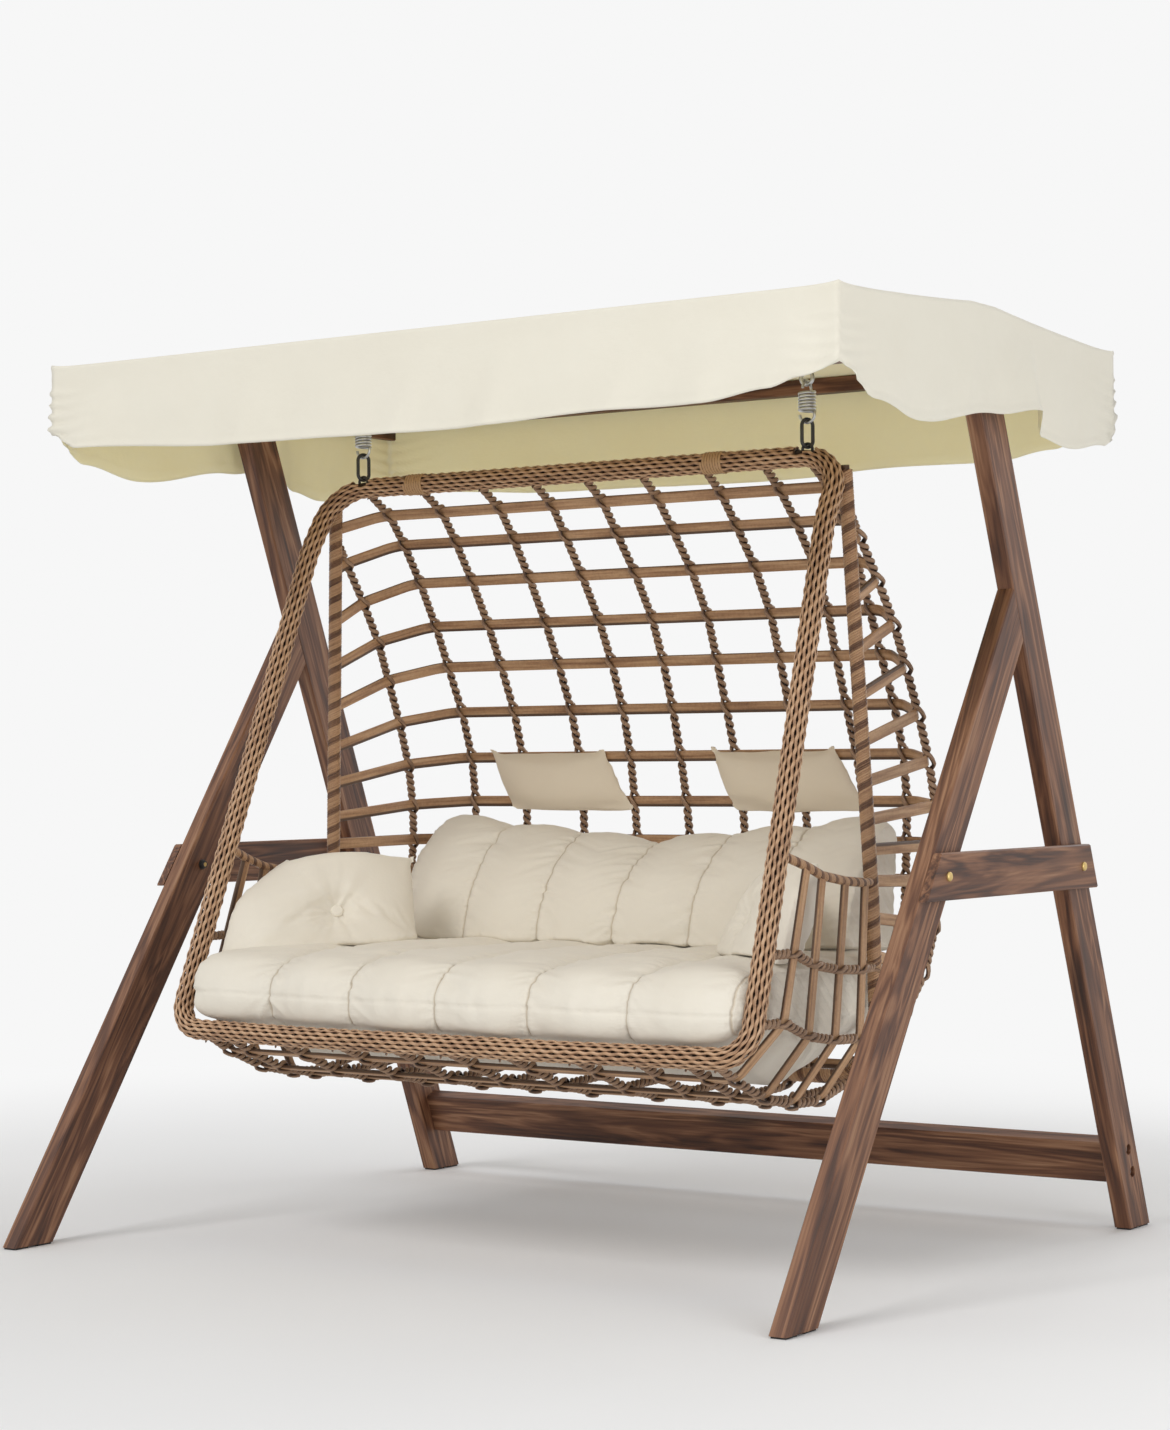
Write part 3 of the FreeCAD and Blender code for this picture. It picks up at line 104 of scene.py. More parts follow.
# Ropes
rope_half_span = 0.600
rope_shares = (-1.0, -0.74, -0.46, -0.21, 0.03, 0.28, 0.56, 0.81, 1.0)
side_row_shares = (0.56, 1.0)
strand_radius = 0.0056
strand_thickness = 1.8
strand_width = 1.95
rope_lay = 0.022
rope_lean = 0.55
rope_bend = 0.02
rope_wander = 0.005
rope_clear = 0.003
rope_under_hoop = 0.0266
bar_spread = 0.024
loop_side_spread = 0.022
post_spread = 0.016
hoop_spread = 0.018
rail_spread = rail_thickness / 2 + strand_radius

# Canopy
cloth_side = 1.0218
cloth_front = -0.6288
cloth_rear = 0.6188
cloth_middle = (cloth_front + cloth_rear) / 2
cloth_half = (cloth_rear - cloth_front) / 2
cloth_edge = 1.9688
cloth_ridge = 2.0018
cloth_thickness = 0.0016
ridge_front = -0.0768
ridge_rear = 0.0308
roof_sag = 0.004
hem_bulge = 0.020
hem_rows = 28
hem_start = 0.16
canopy_steps = (172, 106)
front_drop = 0.217
rear_drop = 0.232
side_drop = 0.237
front_place_shares = (-1.0, -0.91, -0.45, 0.12, 0.47, 0.70, 0.85, 0.92, 1.0)
front_drop_shares = (0.71, 0.87, 0.967, 1.0, 0.95, 0.963, 0.88, 0.80, 0.70)
front_push_shares = (0.0, 0.45, 0.2, 0.6, 0.25, 0.5, 0.2, 0.4, 0.0)
side_place_shares = (-1.0, -0.81, -0.516, 0.013, 0.317, 0.37, 0.55, 0.88, 1.0)
side_drop_shares = (0.63, 0.886, 0.996, 0.81, 0.713, 0.93, 1.0, 0.90, 0.78)
side_push_shares = (0.0, 0.45, 0.15, 0.5, 1.15, 0.0, 0.4, 0.3, 0.0)

# Cushions
seat_half_width = 0.702
back_half_width = 0.622
channels = 6
seam_reach = 0.016
seat_front_seam = 0.560
seat_sewn_below = 0.47
back_sewn_below = 0.665
back_sewn_behind = 0.365
button_reach = 0.026
pillow_sewn_height = 0.03
head_sewn_behind = 0.40
pillow_tip = math.radians(31.0)
pillow_turn = math.radians(45.0)
swell_frames = 20
cover_settings = {"quality": 4, "mass": 0.3, "tension_stiffness": 14, "compression_stiffness": 10,
                  "shear_stiffness": 6, "bending_stiffness": 0.6, "use_pressure": True,
                  "uniform_pressure_force": 4.0, "vertex_group_mass": "sewn", "pin_stiffness": 1.0}

# Timber and camera
post_lean = math.radians(21.6)
leg_lean = math.radians(34.4)
view_place = (3.8283, -5.6383, 1.0615)
view_turns = (math.radians(-34.119), math.radians(0.917), math.radians(-0.427))
view_lens = 76.25


# Node trees
class Value:
    """Output of a node; sums and products of values add Math nodes to its tree."""

    def __init__(self, socket):
        self.socket = socket
        self.tree = socket.id_data

    def maths(self, operation, *others):
        """Result of a Math node."""
        return output(self.tree, "ShaderNodeMath", dict(enumerate((self, *others))), operation=operation)

    def vector(self, operation, *others, socket=0):
        """Result of a Vector Math node."""
        return output(self.tree, "ShaderNodeVectorMath", dict(enumerate((self, *others))), socket,
                      operation=operation)

    def stretched(self, *factors):
        """Vector times a factor on each axis."""
        return self.vector("MULTIPLY", factors)

    def scaled(self, factor):
        """Vector times a number."""
        return output(self.tree, "ShaderNodeVectorMath", {0: self, "Scale": factor}, operation="SCALE")

    def span(self, low, high, first, last, **settings):
        """first up to low, last from high on, and a steady change between."""
        inputs = dict(enumerate((self, low, high, first, last)))
        return output(self.tree, "ShaderNodeMapRange", inputs, **settings)

    def then(self, kind, inputs=None, **settings):
        """Result of a geometry node that takes this as its first input."""
        return output(self.tree, "GeometryNode" + kind, {0: self, **(inputs or {})}, **settings)

    def __add__(self, other):
        return self.maths("ADD", other)

    def __sub__(self, other):
        return self.maths("SUBTRACT", other)

    def __rsub__(self, other):
        return self * -1.0 + other

    def __mul__(self, other):
        return self.maths("MULTIPLY", other)

    def __truediv__(self, other):
        return self.maths("DIVIDE", other)


def fill(node, inputs):
    """Set or link a node's inputs, keyed by socket name or number."""
    for key, value in inputs.items():
        if isinstance(value, Value):
            value.tree.links.new(value.socket, node.inputs[key])
        else:
            node.inputs[key].default_value = value


def add(tree, kind, inputs=None, **settings):
    """Node with its settings and inputs."""
    node = tree.nodes.new(kind)
    for key, value in settings.items():
        setattr(node, key, value)
    fill(node, inputs or {})
    return node


def output(tree, kind, inputs=None, socket=0, **settings):
    """One output of a new node."""
    return Value(add(tree, kind, inputs, **settings).outputs[socket])


def combined(x, y, z):
    """Vector of three numbers."""
    return output(x.tree, "ShaderNodeCombineXYZ", {0: x, 1: y, 2: z})


def parts(vector):
    """X, Y and Z of a vector."""
    return [Value(socket) for socket in add(vector.tree, "ShaderNodeSeparateXYZ", {0: vector}).outputs]


def ramp(factor, *stops):
    """Colour Ramp; a stop is a place and its colour's three numbers."""
    node = add(factor.tree, "ShaderNodeValToRGB", {0: factor})
    places = node.color_ramp.elements
    while len(places) < len(stops):
        places.new(0.5)
    for element, (place, *colour) in zip(places, stops):
        element.position = place
        element.color = (*colour, 1.0)
    return Value(node.outputs[0])


def mixed(factor, *colours):
    """Two colours mixed; a colour is a value or three numbers."""
    first, second = [colour if isinstance(colour, Value) else (*colour, 1.0) for colour in colours]
    return output(factor.tree, "ShaderNodeMix", {0: factor, 6: first, 7: second}, 2, data_type="RGBA")


def speckle(place, scale, detail=3.0, roughness=0.5, distortion=0.0):
    """Noise at a place."""
    inputs = {"Vector": place, "Scale": scale, "Detail": detail, "Roughness": roughness,
              "Distortion": distortion}
    return output(place.tree, "ShaderNodeTexNoise", inputs, "Fac")


def bumped(height, strength, distance, normal=None):
    """Normal raised by a height."""
    inputs = {"Height": height, "Strength": strength, "Distance": distance}
    if normal:
        inputs["Normal"] = normal
    return output(height.tree, "ShaderNodeBump", inputs)


def object_place(tree):
    """Object coordinates."""
    return output(tree, "ShaderNodeTexCoord", socket="Object")


def attributes(tree, *names):
    """A piece's own point values."""
    return [output(tree, "ShaderNodeAttribute", socket="Fac", attribute_name=name) for name in names]


def new_finish(name):
    """Material with a plain Principled shader, and its node tree."""
    made = bpy.data.materials.new(name)
    made.use_nodes = True
    return made, made.node_tree


def finish(made, colour, roughness, normal=None, **fixed):
    """Material with its Principled shader's inputs; fixed gives those that are plain numbers."""
    inputs = {"Base Color": colour, "Roughness": roughness}
    if normal:
        inputs["Normal"] = normal
    inputs.update((key.replace("_", " "), value) for key, value in fixed.items())
    fill(made.node_tree.nodes["Principled BSDF"], inputs)
    return made


# Finishes
def stained_timber(name, grain):
    """Walnut-stained softwood whose grain runs along a direction."""
    made, tree = new_finish(name)
    turn = Vector(grain).rotation_difference(Vector((1, 0, 0))).to_euler()
    along = output(tree, "ShaderNodeMapping", {"Vector": object_place(tree), "Rotation": turn})
    flame = speckle(along.stretched(0.55, 7.0, 7.0), 2.2, 4.0, 0.5, 0.7)
    rings = (flame * 46.0).maths("SINE")
    fibre = speckle(along.stretched(5.0, 190.0, 190.0), 1.0, 5.0, 0.62)
    streak = speckle(along.stretched(0.9, 26.0, 26.0), 1.6, 4.0, 0.6)
    cells = {"Vector": along.stretched(1.3, 6.0, 6.0), "Scale": 1.0, "Randomness": 1.0}
    knot = output(tree, "ShaderNodeTexVoronoi", cells, "Distance").span(0.05, 0.16, 1.0, 0.0)
    tone = (rings * 0.16 + (fibre * 0.60 + streak)) * 0.62
    colour = ramp(tone, (0.28, 0.034, 0.012, 0.006), (0.44, 0.112, 0.043, 0.020),
                  (0.58, 0.212, 0.094, 0.046), (0.78, 0.400, 0.222, 0.122))
    colour = mixed(knot * 0.75, colour, (0.022, 0.010, 0.006))
    return finish(made, colour, fibre * 0.22 + 0.40, bumped(fibre + knot, 0.22, 0.0012),
                  Specular_IOR_Level=0.45)


def cane(name, stripe, gloss, *stops):
    """Split cane: streaks along each strand, painted shade on its inner side and a little painted light on
    its outer side, each strand with its own tone.
    """
    made, tree = new_finish(name)
    along, strand, around, shade, inward = attributes(tree, "along", "strand", "around", "shade", "inward")
    patch = speckle(combined(along * 9.0, strand * 3.7, around * stripe), 1.0, 4.0, 0.6)
    place = object_place(tree)
    grain = speckle(place, 160.0, 4.0, 0.65)
    wear = speckle(place, 11.0, 3.0, 0.6)
    # shade brings each strand's own tone and the painted shade where it sinks; inward adds painted shade on
    # the strand's inner side and a little painted light on its outer side.
    tone = (grain * 0.35 + (wear * 0.30 + patch)) * 0.62 + shade + inward.span(0.18, 0.75, 0.06, -0.26)
    return finish(made, ramp(tone, *stops), grain * 0.25 + gloss, bumped(grain * 0.5 + patch, 0.30, 0.0010),
                  Specular_IOR_Level=0.5, Coat_Weight=0.10, Coat_Roughness=0.35)


def edged_cane(name):
    """Flat woven cane: fine lines and small stitches along it, and one dark edge, which is painted shade of
    the gap along the rail.
    """
    made, tree = new_finish(name)
    along, tone, around, flip = attributes(tree, "along", "strand", "around", "flip")
    # Painted shade: a dark line near one edge of the section, for the shadowed gap along the rail; flip moves
    # it to the other edge.
    edge = ((around + flip).maths("FRACT") - 0.435).maths("ABSOLUTE")
    dark = edge.span(0.085, 0.125, 1.0, 0.0)
    lines = (around * 150.0).maths("SINE")
    weave = lines * (along * 1500.0).maths("SINE")
    patch = speckle(combined(along * 5.0, tone, around * 7.0), 1.0, 4.0, 0.6)
    grain = speckle(object_place(tree), 140.0, 4.0, 0.65)
    colour = ramp((weave * 0.05 + (grain * 0.30 + patch)) * 0.78,
                  (0.28, 0.170, 0.080, 0.034), (0.44, 0.370, 0.198, 0.096),
                  (0.58, 0.530, 0.318, 0.170), (0.80, 0.700, 0.480, 0.300))
    colour = mixed(dark * 0.88, colour, (0.050, 0.023, 0.012))
    height = weave * 0.25 + (lines * 0.35 + grain)
    return finish(made, colour, grain * 0.25 + 0.38, bumped(height, 0.30, 0.0010), Specular_IOR_Level=0.5)


def woven_cloth(name, light, shade, half_width=0.0, thin=0.0):
    """Plain-weave cloth, a little mottled.

    half_width is that of a cushion with sewn channels; thin is how much light comes through."""
    made, tree = new_finish(name)
    place = object_place(tree)
    weave = speckle(place.stretched(60.0, 420.0, 420.0), 1.0, 2.0)
    weave += speckle(place.stretched(420.0, 60.0, 60.0), 1.0, 2.0)
    colour = mixed(speckle(place, 5.0, 4.0, 0.6), shade, light)
    colour = mixed(weave * 0.10, colour, shade)
    normal = bumped(speckle(place, 16.0, 3.0, 0.55), 0.22, 0.010)
    normal = bumped(weave, 0.25, 0.0007, normal)
    if half_width:
        off = (parts(place)[0] + half_width).maths("PINGPONG", half_width / channels)
        near = off.span(0.0, 0.0032, 1.0, 0.0)
        close = off.span(0.0, 0.060, 1.0, 0.0)
        pull = speckle(place.stretched(7.0, 46.0, 46.0), 1.0, 3.0, 0.6) * (close * close)
        colour = mixed(near * 0.55, colour, (0.52, 0.40, 0.25))
        normal = bumped(pull, 0.55, 0.012, normal)
        normal = bumped(1.0 - near, 0.6, 0.004, normal)
    return finish(made, colour, 0.92, normal, Specular_IOR_Level=0.2, Sheen_Weight=0.25, Sheen_Roughness=0.5,
                  Subsurface_Weight=thin, Subsurface_Radius=(1.0, 1.0, 1.0), Subsurface_Scale=0.006)


def metal(name, light, dark, roughness, metallic=1.0, coat=0.0):
    """Plated or painted metal with handling marks."""
    made, tree = new_finish(name)
    place = object_place(tree)
    smear = speckle(place, 35.0, 4.0, 0.6)
    grit = speckle(place, 420.0, 2.0)
    return finish(made, ramp(smear, (0.30, *dark), (0.70, *light)), smear * 0.30 + roughness,
                  bumped(grit, 0.10, 0.0005), Metallic=metallic, Coat_Weight=coat)


def pad_rubber(name):
    """Black rubber, dusty."""
    made, tree = new_finish(name)
    dust = speckle(object_place(tree), 60.0, 5.0, 0.7)
    colour = ramp(dust, (0.35, 0.018, 0.018, 0.018), (0.75, 0.060, 0.058, 0.055))
    return finish(made, colour, 0.85, bumped(dust, 0.2, 0.0006))


timber_post = stained_timber("timber_post", (0.0, -math.sin(post_lean), math.cos(post_lean)))
timber_leg = stained_timber("timber_leg", (0.0, math.sin(leg_lean), math.cos(leg_lean)))
timber_cross = stained_timber("timber_cross", (1.0, 0.0, 0.0))
timber_side = stained_timber("timber_side", (0.0, 1.0, 0.0))
braid_cane = cane("braid_cane", 2.0, 0.34, (0.20, 0.030, 0.012, 0.006), (0.38, 0.235, 0.118, 0.058),
                  (0.54, 0.500, 0.300, 0.168), (0.80, 0.760, 0.545, 0.360))
wound_cane = cane("wound_cane", 2.0, 0.36, (0.20, 0.040, 0.015, 0.007), (0.36, 0.160, 0.074, 0.036),
                  (0.54, 0.430, 0.245, 0.128), (0.84, 0.660, 0.440, 0.260))
ring_cane = cane("ring_cane", 2.0, 0.42, (0.24, 0.020, 0.009, 0.005), (0.50, 0.085, 0.043, 0.023),
                 (0.80, 0.200, 0.115, 0.065))
rail_cane = edged_cane("rail_cane")
band_cane = cane("band_cane", 2.0, 0.40, (0.20, 0.260, 0.138, 0.060), (0.50, 0.440, 0.260, 0.125),
                 (0.85, 0.600, 0.390, 0.215))
rope_cane = cane("rope_cane", 12.0, 0.42, (0.22, 0.018, 0.008, 0.004), (0.40, 0.110, 0.056, 0.031),
                 (0.56, 0.300, 0.178, 0.104), (0.80, 0.580, 0.395, 0.255))
# Cores under the wound cane: near black, as dark as the shade in the gaps between strands, so partly painted
# shade.
core_painted_shade = metal("core_painted_shade", (0.030, 0.014, 0.008), (0.012, 0.006, 0.004), 0.7, 0.0)
cushion_tones = (0.87, 0.825, 0.725), (0.80, 0.740, 0.630)
seat_cloth = woven_cloth("seat_cloth", *cushion_tones, seat_half_width)
back_cloth = woven_cloth("back_cloth", *cushion_tones, back_half_width)
pillow_cloth = woven_cloth("pillow_cloth", *cushion_tones)
head_cloth = woven_cloth("head_cloth", (0.90, 0.805, 0.650), (0.84, 0.730, 0.570))
canopy_canvas = woven_cloth("canopy_canvas", (0.87, 0.835, 0.725), (0.82, 0.775, 0.655))
# Inner face of the canopy: painted light, brighter and yellower than the canvas for daylight coming through
# the cloth; thin also lets real light through.
canopy_underside_glow = woven_cloth("canopy_underside_glow", (0.95, 0.82, 0.52), (0.90, 0.76, 0.46), thin=0.9)
bright_steel = metal("bright_steel", (0.72, 0.72, 0.71), (0.46, 0.46, 0.46), 0.22)
black_paint = metal("black_paint", (0.035, 0.033, 0.032), (0.012, 0.012, 0.012), 0.35, 0.0, 0.2)
tube_brown = metal("tube_brown", (0.105, 0.056, 0.030), (0.060, 0.030, 0.016), 0.5, 0.0)
plated_brass = metal("plated_brass", (0.78, 0.58, 0.24), (0.45, 0.31, 0.11), 0.25)
foot_rubber = pad_rubber("foot_rubber")


def dress(finish_of):
    """Give CAD nodes their finishes."""
    for made, names in finish_of:
        for name in names:
            nodes[name].data.materials.clear()
            nodes[name].data.materials.append(made)


dress((
    (timber_post, ("rear_post_right", "rear_post_left")),
    (timber_leg, ("front_leg_right", "front_leg_left")),
    (timber_cross, ("rear_stretcher", "top_beam", "canopy_rail_front", "canopy_rail_rear")),
    (timber_side, ("side_tie_right", "side_tie_left", "canopy_arm_right", "canopy_arm_left")),
    (foot_rubber, ("foot_pads",)),
    (plated_brass, ("tie_bolts",)),
    (bright_steel, ("cross_bolts", "apex_bolts", "canopy_arm_bolts", "canopy_screws", "eye_bolts",
                    "eye_nuts")),
    (black_paint, ("tie_nuts", "hanger_link_right", "hanger_link_left", "hanging_eyes")),
    (tube_brown, ("loop_tube", "hoop_tube")),
))


# Trees that follow a path
def formed(tree, kind, inputs=None, socket=0, **settings):
    """One output of a new geometry node."""
    return output(tree, "GeometryNode" + kind, inputs, socket, **settings)


def new_tree(name, numbers, counts=()):
    """Geometry tree that makes a piece from a path, and a function that gives its inputs by name."""
    tree = bpy.data.node_groups.new(name, "GeometryNodeTree")
    kinds = {"Path": "Geometry", **dict.fromkeys(numbers, "Float"), **dict.fromkeys(counts, "Int"),
             "Finish": "Material"}
    for key, kind in kinds.items():
        tree.interface.new_socket(key, in_out="INPUT", socket_type="NodeSocket" + kind)
    tree.interface.new_socket("Piece", in_out="OUTPUT", socket_type="NodeSocketGeometry")
    sockets = tree.nodes.new("NodeGroupInput").outputs
    return tree, lambda key: Value(sockets[key])


def point_value(tree, name, kind="FLOAT"):
    """A path point's own value."""
    return formed(tree, "InputNamedAttribute", {"Name": name}, "Attribute", data_type=kind)


def spline_spot(tree, kind):
    """Length or share of the way along a curve."""
    return formed(tree, "SplineParameter", socket=kind)


def marked(geometry, name, value, kind="FLOAT"):
    """Geometry with a value stored on its points."""
    inputs = {"Name": name, "Value": value}
    return geometry.then("StoreNamedAttribute", inputs, data_type=kind, domain="POINT")


def rounded_line(path, step):
    """Path's edges as a curve with its corners rounded by each point's bend, divided evenly."""
    corners = {"Count": 10, "Radius": point_value(path.tree, "bend"), "Limit Radius": True}
    line = path.then("MeshToCurve").then("FilletCurve", corners, mode="POLY")
    return line.then("ResampleCurve", {"Length": step}, mode="LENGTH")


def copied(line, amount):
    """Copies of a line, and the number of each copy."""
    copies = add(line.tree, "GeometryNodeDuplicateElements", {0: line, "Amount": amount}, domain="SPLINE")
    return Value(copies.outputs[0]), Value(copies.outputs[1])


def turned(front, side, angle):
    """Direction turned by an angle from front towards side."""
    return front.scaled(angle.maths("COSINE")).vector("ADD", side.scaled(angle.maths("SINE")))


def notched(line):
    """Strands cut away on top of the bar, where the hanging eyes and links go in."""
    x, y, z = parts(formed(line.tree, "InputPosition"))
    beside = (x.maths("ABSOLUTE") - hang_half_span).maths("ABSOLUTE").maths("LESS_THAN", eye_gap)
    inside = beside * z.maths("GREATER_THAN", bar_top + eye_notch)
    line = line.then("CurveToMesh").then("DeleteGeometry", {"Selection": inside}, domain="POINT")
    return line.then("MeshToCurve")


def pushed(line, radial, reach, notch=False):
    """Line moved by reach along a direction, which its section then faces."""
    line = marked(line, "outward", radial, "FLOAT_VECTOR")
    outward = point_value(line.tree, "outward", "FLOAT_VECTOR")
    line = line.then("SetPosition", {"Offset": outward.scaled(reach)})
    if notch:
        line = notched(line)
    return line.then("SetCurveNormal", {"Normal": outward}, mode="FREE")


def oval(thick, wide):
    """Oval section: thick along the curve's normal, wide across it."""
    tree = thick.tree
    ring = formed(tree, "CurvePrimitiveCircle", {"Resolution": 8, "Radius": 0.5}, mode="RADIUS")
    # inward runs from 0 on the outer face to 1 on the inner face; the cane finishes paint shade with it.
    ring = marked(ring, "inward", 0.5 - parts(formed(tree, "InputPosition"))[0])
    ring = ring.then("Transform", {"Scale": combined(thick, wide, 1.0)})
    return marked(ring, "around", spline_spot(tree, "Factor"))


def swept(line, section, material):
    """Closed sweep with its finish as the tree's piece."""
    piece = line.then("CurveToMesh", {"Profile Curve": section, "Fill Caps": True}).then("SetShadeSmooth")
    piece = piece.then("RealizeInstances").then("SetMaterial", {"Material": material})
    add(line.tree, "NodeGroupOutput", {0: piece})
    return line.tree


def winding_tree():
    """Strands wound round a path; Bob lifts and sinks them and Sway leans them, so that neighbours plait."""
    numbers = ("Radius", "Bob", "Sway", "Wave", "Phase", "Start", "Pitch", "SunkShade", "Wide", "Thick", "Step")
    tree, size = new_tree("wound strands", numbers, ("Strands", "Dark"))
    line, index = copied(rounded_line(size("Path"), size("Step")), size("Strands"))
    spot = spline_spot(tree, "Length")
    around = spot * math.tau
    wave = around / size("Wave") + size("Phase")
    angle = around / size("Pitch") + (index * math.tau / size("Strands") + size("Start"))
    angle = wave.maths("SINE") * size("Sway") + angle
    side = formed(tree, "InputNormal")
    radial = turned(side, formed(tree, "InputTangent").vector("CROSS_PRODUCT", side), angle)
    reach = wave.maths("COSINE") * size("Bob") + size("Radius")
    line = marked(line, "along", spot)
    line = marked(line, "strand", index * 1.37 + size("Phase"))
    # The first Dark strands are a real darker tone; SunkShade adds painted shade where a strand sinks under
    # its neighbours.
    dark = index.maths("LESS_THAN", size("Dark")) * -0.22
    line = marked(line, "shade", dark + (wave.maths("COSINE") - 1.0) * size("SunkShade"))
    line = pushed(line, radial, reach, notch=True)
    return swept(line, oval(size("Thick"), size("Wide")), size("Finish"))


def twining_tree():
    """Two strands twined along a path; its points give their turn, their spread and the line they cross."""
    tree, size = new_tree("twined strands", ("Strand", "Step"))
    line, index = copied(rounded_line(size("Path"), size("Step")), 2)
    angle = index * math.pi + point_value(tree, "turn")
    run = formed(tree, "InputTangent")
    front = run.vector("CROSS_PRODUCT", point_value(tree, "across", "FLOAT_VECTOR")).vector("NORMALIZE")
    radial = turned(front, front.vector("CROSS_PRODUCT", run), angle)
    line = marked(line, "along", spline_spot(tree, "Length"))
    line = marked(line, "strand", index * 1.9 + angle * 0.05)
    line = pushed(line, radial, point_value(tree, "spread"))
    return swept(line, oval(size("Strand") * strand_thickness, size("Strand") * strand_width), size("Finish"))


def flat_tree():
    """Flat cane with rounded edges; each point's face gives the way its width lies."""
    tree, size = new_tree("flat canes", ("Wide", "Thick", "Round", "Step"))
    line = rounded_line(size("Path"), size("Step"))
    line = marked(line, "along", spline_spot(tree, "Length"))
    line = marked(line, "strand", point_value(tree, "tone"))
    line = marked(line, "flip", point_value(tree, "flip"))
    line = line.then("SetCurveNormal", {"Normal": point_value(tree, "face", "FLOAT_VECTOR")}, mode="FREE")
    section = formed(tree, "CurvePrimitiveQuadrilateral", {"Width": size("Wide"), "Height": size("Thick")})
    section = section.then("FilletCurve", {"Count": 4, "Radius": size("Round")}, mode="POLY")
    section = marked(section, "around", spline_spot(tree, "Factor"))
    return swept(line, section, size("Finish"))


winding, twining, flattening = winding_tree(), twining_tree(), flat_tree()


# Pieces
def shown(name, data):
    """Object in the scene."""
    made = bpy.data.objects.new(name, data)
    scene.collection.objects.link(made)
    return made


def modified(piece, kind, **settings):
    """Piece with a modifier worked into its mesh."""
    modifier = piece.modifiers.new(kind, kind)
    for key, value in settings.items():
        setattr(modifier, key, value)
    return applied(piece)


def applied(piece):
    """Piece with its modifiers worked into its mesh."""
    shape = piece.evaluated_get(bpy.context.evaluated_depsgraph_get())
    mesh = bpy.data.meshes.new_from_object(shape)
    piece.modifiers.clear()
    piece.data = mesh
    mesh.shade_smooth()
    return piece


def path_mesh(name, lines, **values):
    """Edges through each line's points; values give one number or vector for each point of each line."""
    mesh = bpy.data.meshes.new(name)
    points, edges = [], []
    for line in lines:
        start = len(points)
        points += [tuple(point) for point in line]
        edges += [(start + step, start + step + 1) for step in range(len(line) - 1)]
    mesh.from_pydata(points, edges, [])
    for key, rows in values.items():
        flat = [value for row in rows for value in row]
        if isinstance(flat[0], (int, float)):
            mesh.attributes.new(key, "FLOAT", "POINT").data.foreach_set("value", flat)
        else:
            vector = mesh.attributes.new(key, "FLOAT_VECTOR", "POINT")
            vector.data.foreach_set("vector", [part for value in flat for part in value])
    return mesh


def grown(name, mesh, tree, **sizes):
    """Plain mesh object that a tree makes from a path."""
    piece = shown(name, mesh)
    modifier = piece.modifiers.new("tree", "NODES")
    modifier.node_group = tree
    for item in tree.interface.items_tree:
        if item.in_out == "INPUT" and item.name in sizes:
            modifier[item.identifier] = sizes[item.name]
    piece.update_tag()
    return applied(piece)


def wound(name, lines, bends, made, **sizes):
    """Strands wound round lines, plain where the sizes don't say more."""
    plain = {"Bob": 0.0, "Sway": 0.0, "Wave": 1.0, "Phase": 0.0, "Start": 0.0, "Strands": 1, "Dark": 0,
             "SunkShade": 0.0}
    return grown(name, path_mesh(name, lines, bend=bends), winding, Finish=made, **{**plain, **sizes})


def rod(name, lines, bends, face, width, step):
    """Round rods along lines, near black: real cores under the cane, coloured as dark as the shade seen
    between the strands, so partly painted shade.
    """
    path = path_mesh(name, lines, bend=bends, face=[[face] * len(line) for line in lines])
    return grown(name, path, flattening, Wide=width, Thick=width, Round=width / 2 - 0.0001, Step=step,
                 Finish=core_painted_shade)


def placed(piece, body, slot, *stands_for):
    """Piece that rides on a body and stands for CAD nodes, which it hides; slot is not used."""
    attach(piece, body)
    if stands_for:
        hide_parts(*stands_for)
    return piece


def mirrored(points):
    """Points on the other side of the middle, in the same order."""
    return [(-x, y, z) for x, y, z in points]


# Hoops
def front_bar_y(x):
    """Y of the bowed front bar's middle line."""
    share = min(abs(x), front_half_width) / front_half_width
    return front_y - front_bow * (1 - share * share)


def loop_side_at(z):
    """Middle of the loop's right side at a height."""
    share = (z - front_z) / (bar_top - loop_bend_drop - front_z)
    return Vector((front_half_width + (loop_bend_half_width - front_half_width) * share,
                   front_y + (loop_bend_y - front_y) * share, z))


def hoop_at(z):
    """Middle of the right post at a height."""
    low, high = (1, 0) if z > hoop_line[1][2] else (2, 1)
    share = (z - hoop_line[low][2]) / (hoop_line[high][2] - hoop_line[low][2])
    return Vector(hoop_line[low]).lerp(Vector(hoop_line[high]), share)


def loop_braid():
    """Plaited cover of the front loop: strands along it, two sets that sway against each other, over rings.

    The line runs once round the loop and starts and ends under the left binding band."""
    right = [(bar_half_width, hang_y, bar_top), (loop_bend_half_width, loop_bend_y, bar_top - loop_bend_drop),
             (front_half_width, front_y, front_z),
             (front_bow_half_width, front_bar_y(front_bow_half_width), front_z)]
    start = [(bar_half_width * band_shares[0], hang_y, bar_top)]
    lines = [start + right + mirrored(right[::-1]) + start]
    bends = [[0.0, *loop_bends, *loop_bends[::-1], 0.0]]
    sizes = {"Radius": 0.0199, "Bob": 0.0013, "Sway": 0.062, "Wave": 0.030, "Pitch": 1000.0, "Strands": 7,
             "SunkShade": 0.06, "Wide": 0.0074, "Thick": 0.0054, "Step": 0.0036}
    over = wound("loop_strands_over", lines, bends, braid_cane, **sizes)
    under = wound("loop_strands_under", lines, bends, braid_cane, Phase=math.pi, Start=math.pi / 7, **sizes)
    rings = wound("loop_rings", lines, bends, ring_cane, Radius=0.0164, Pitch=0.015, Wide=0.0050,
                  Thick=0.0044, Step=0.0013)
    core = rod("loop_core", lines, bends, (0.0, 1.0, 0.0), 0.0284, 0.012)
    placed(over, "basket", "wicker", "loop_braid")
    for piece in (under, rings, core):
        placed(piece, "basket", "wicker")


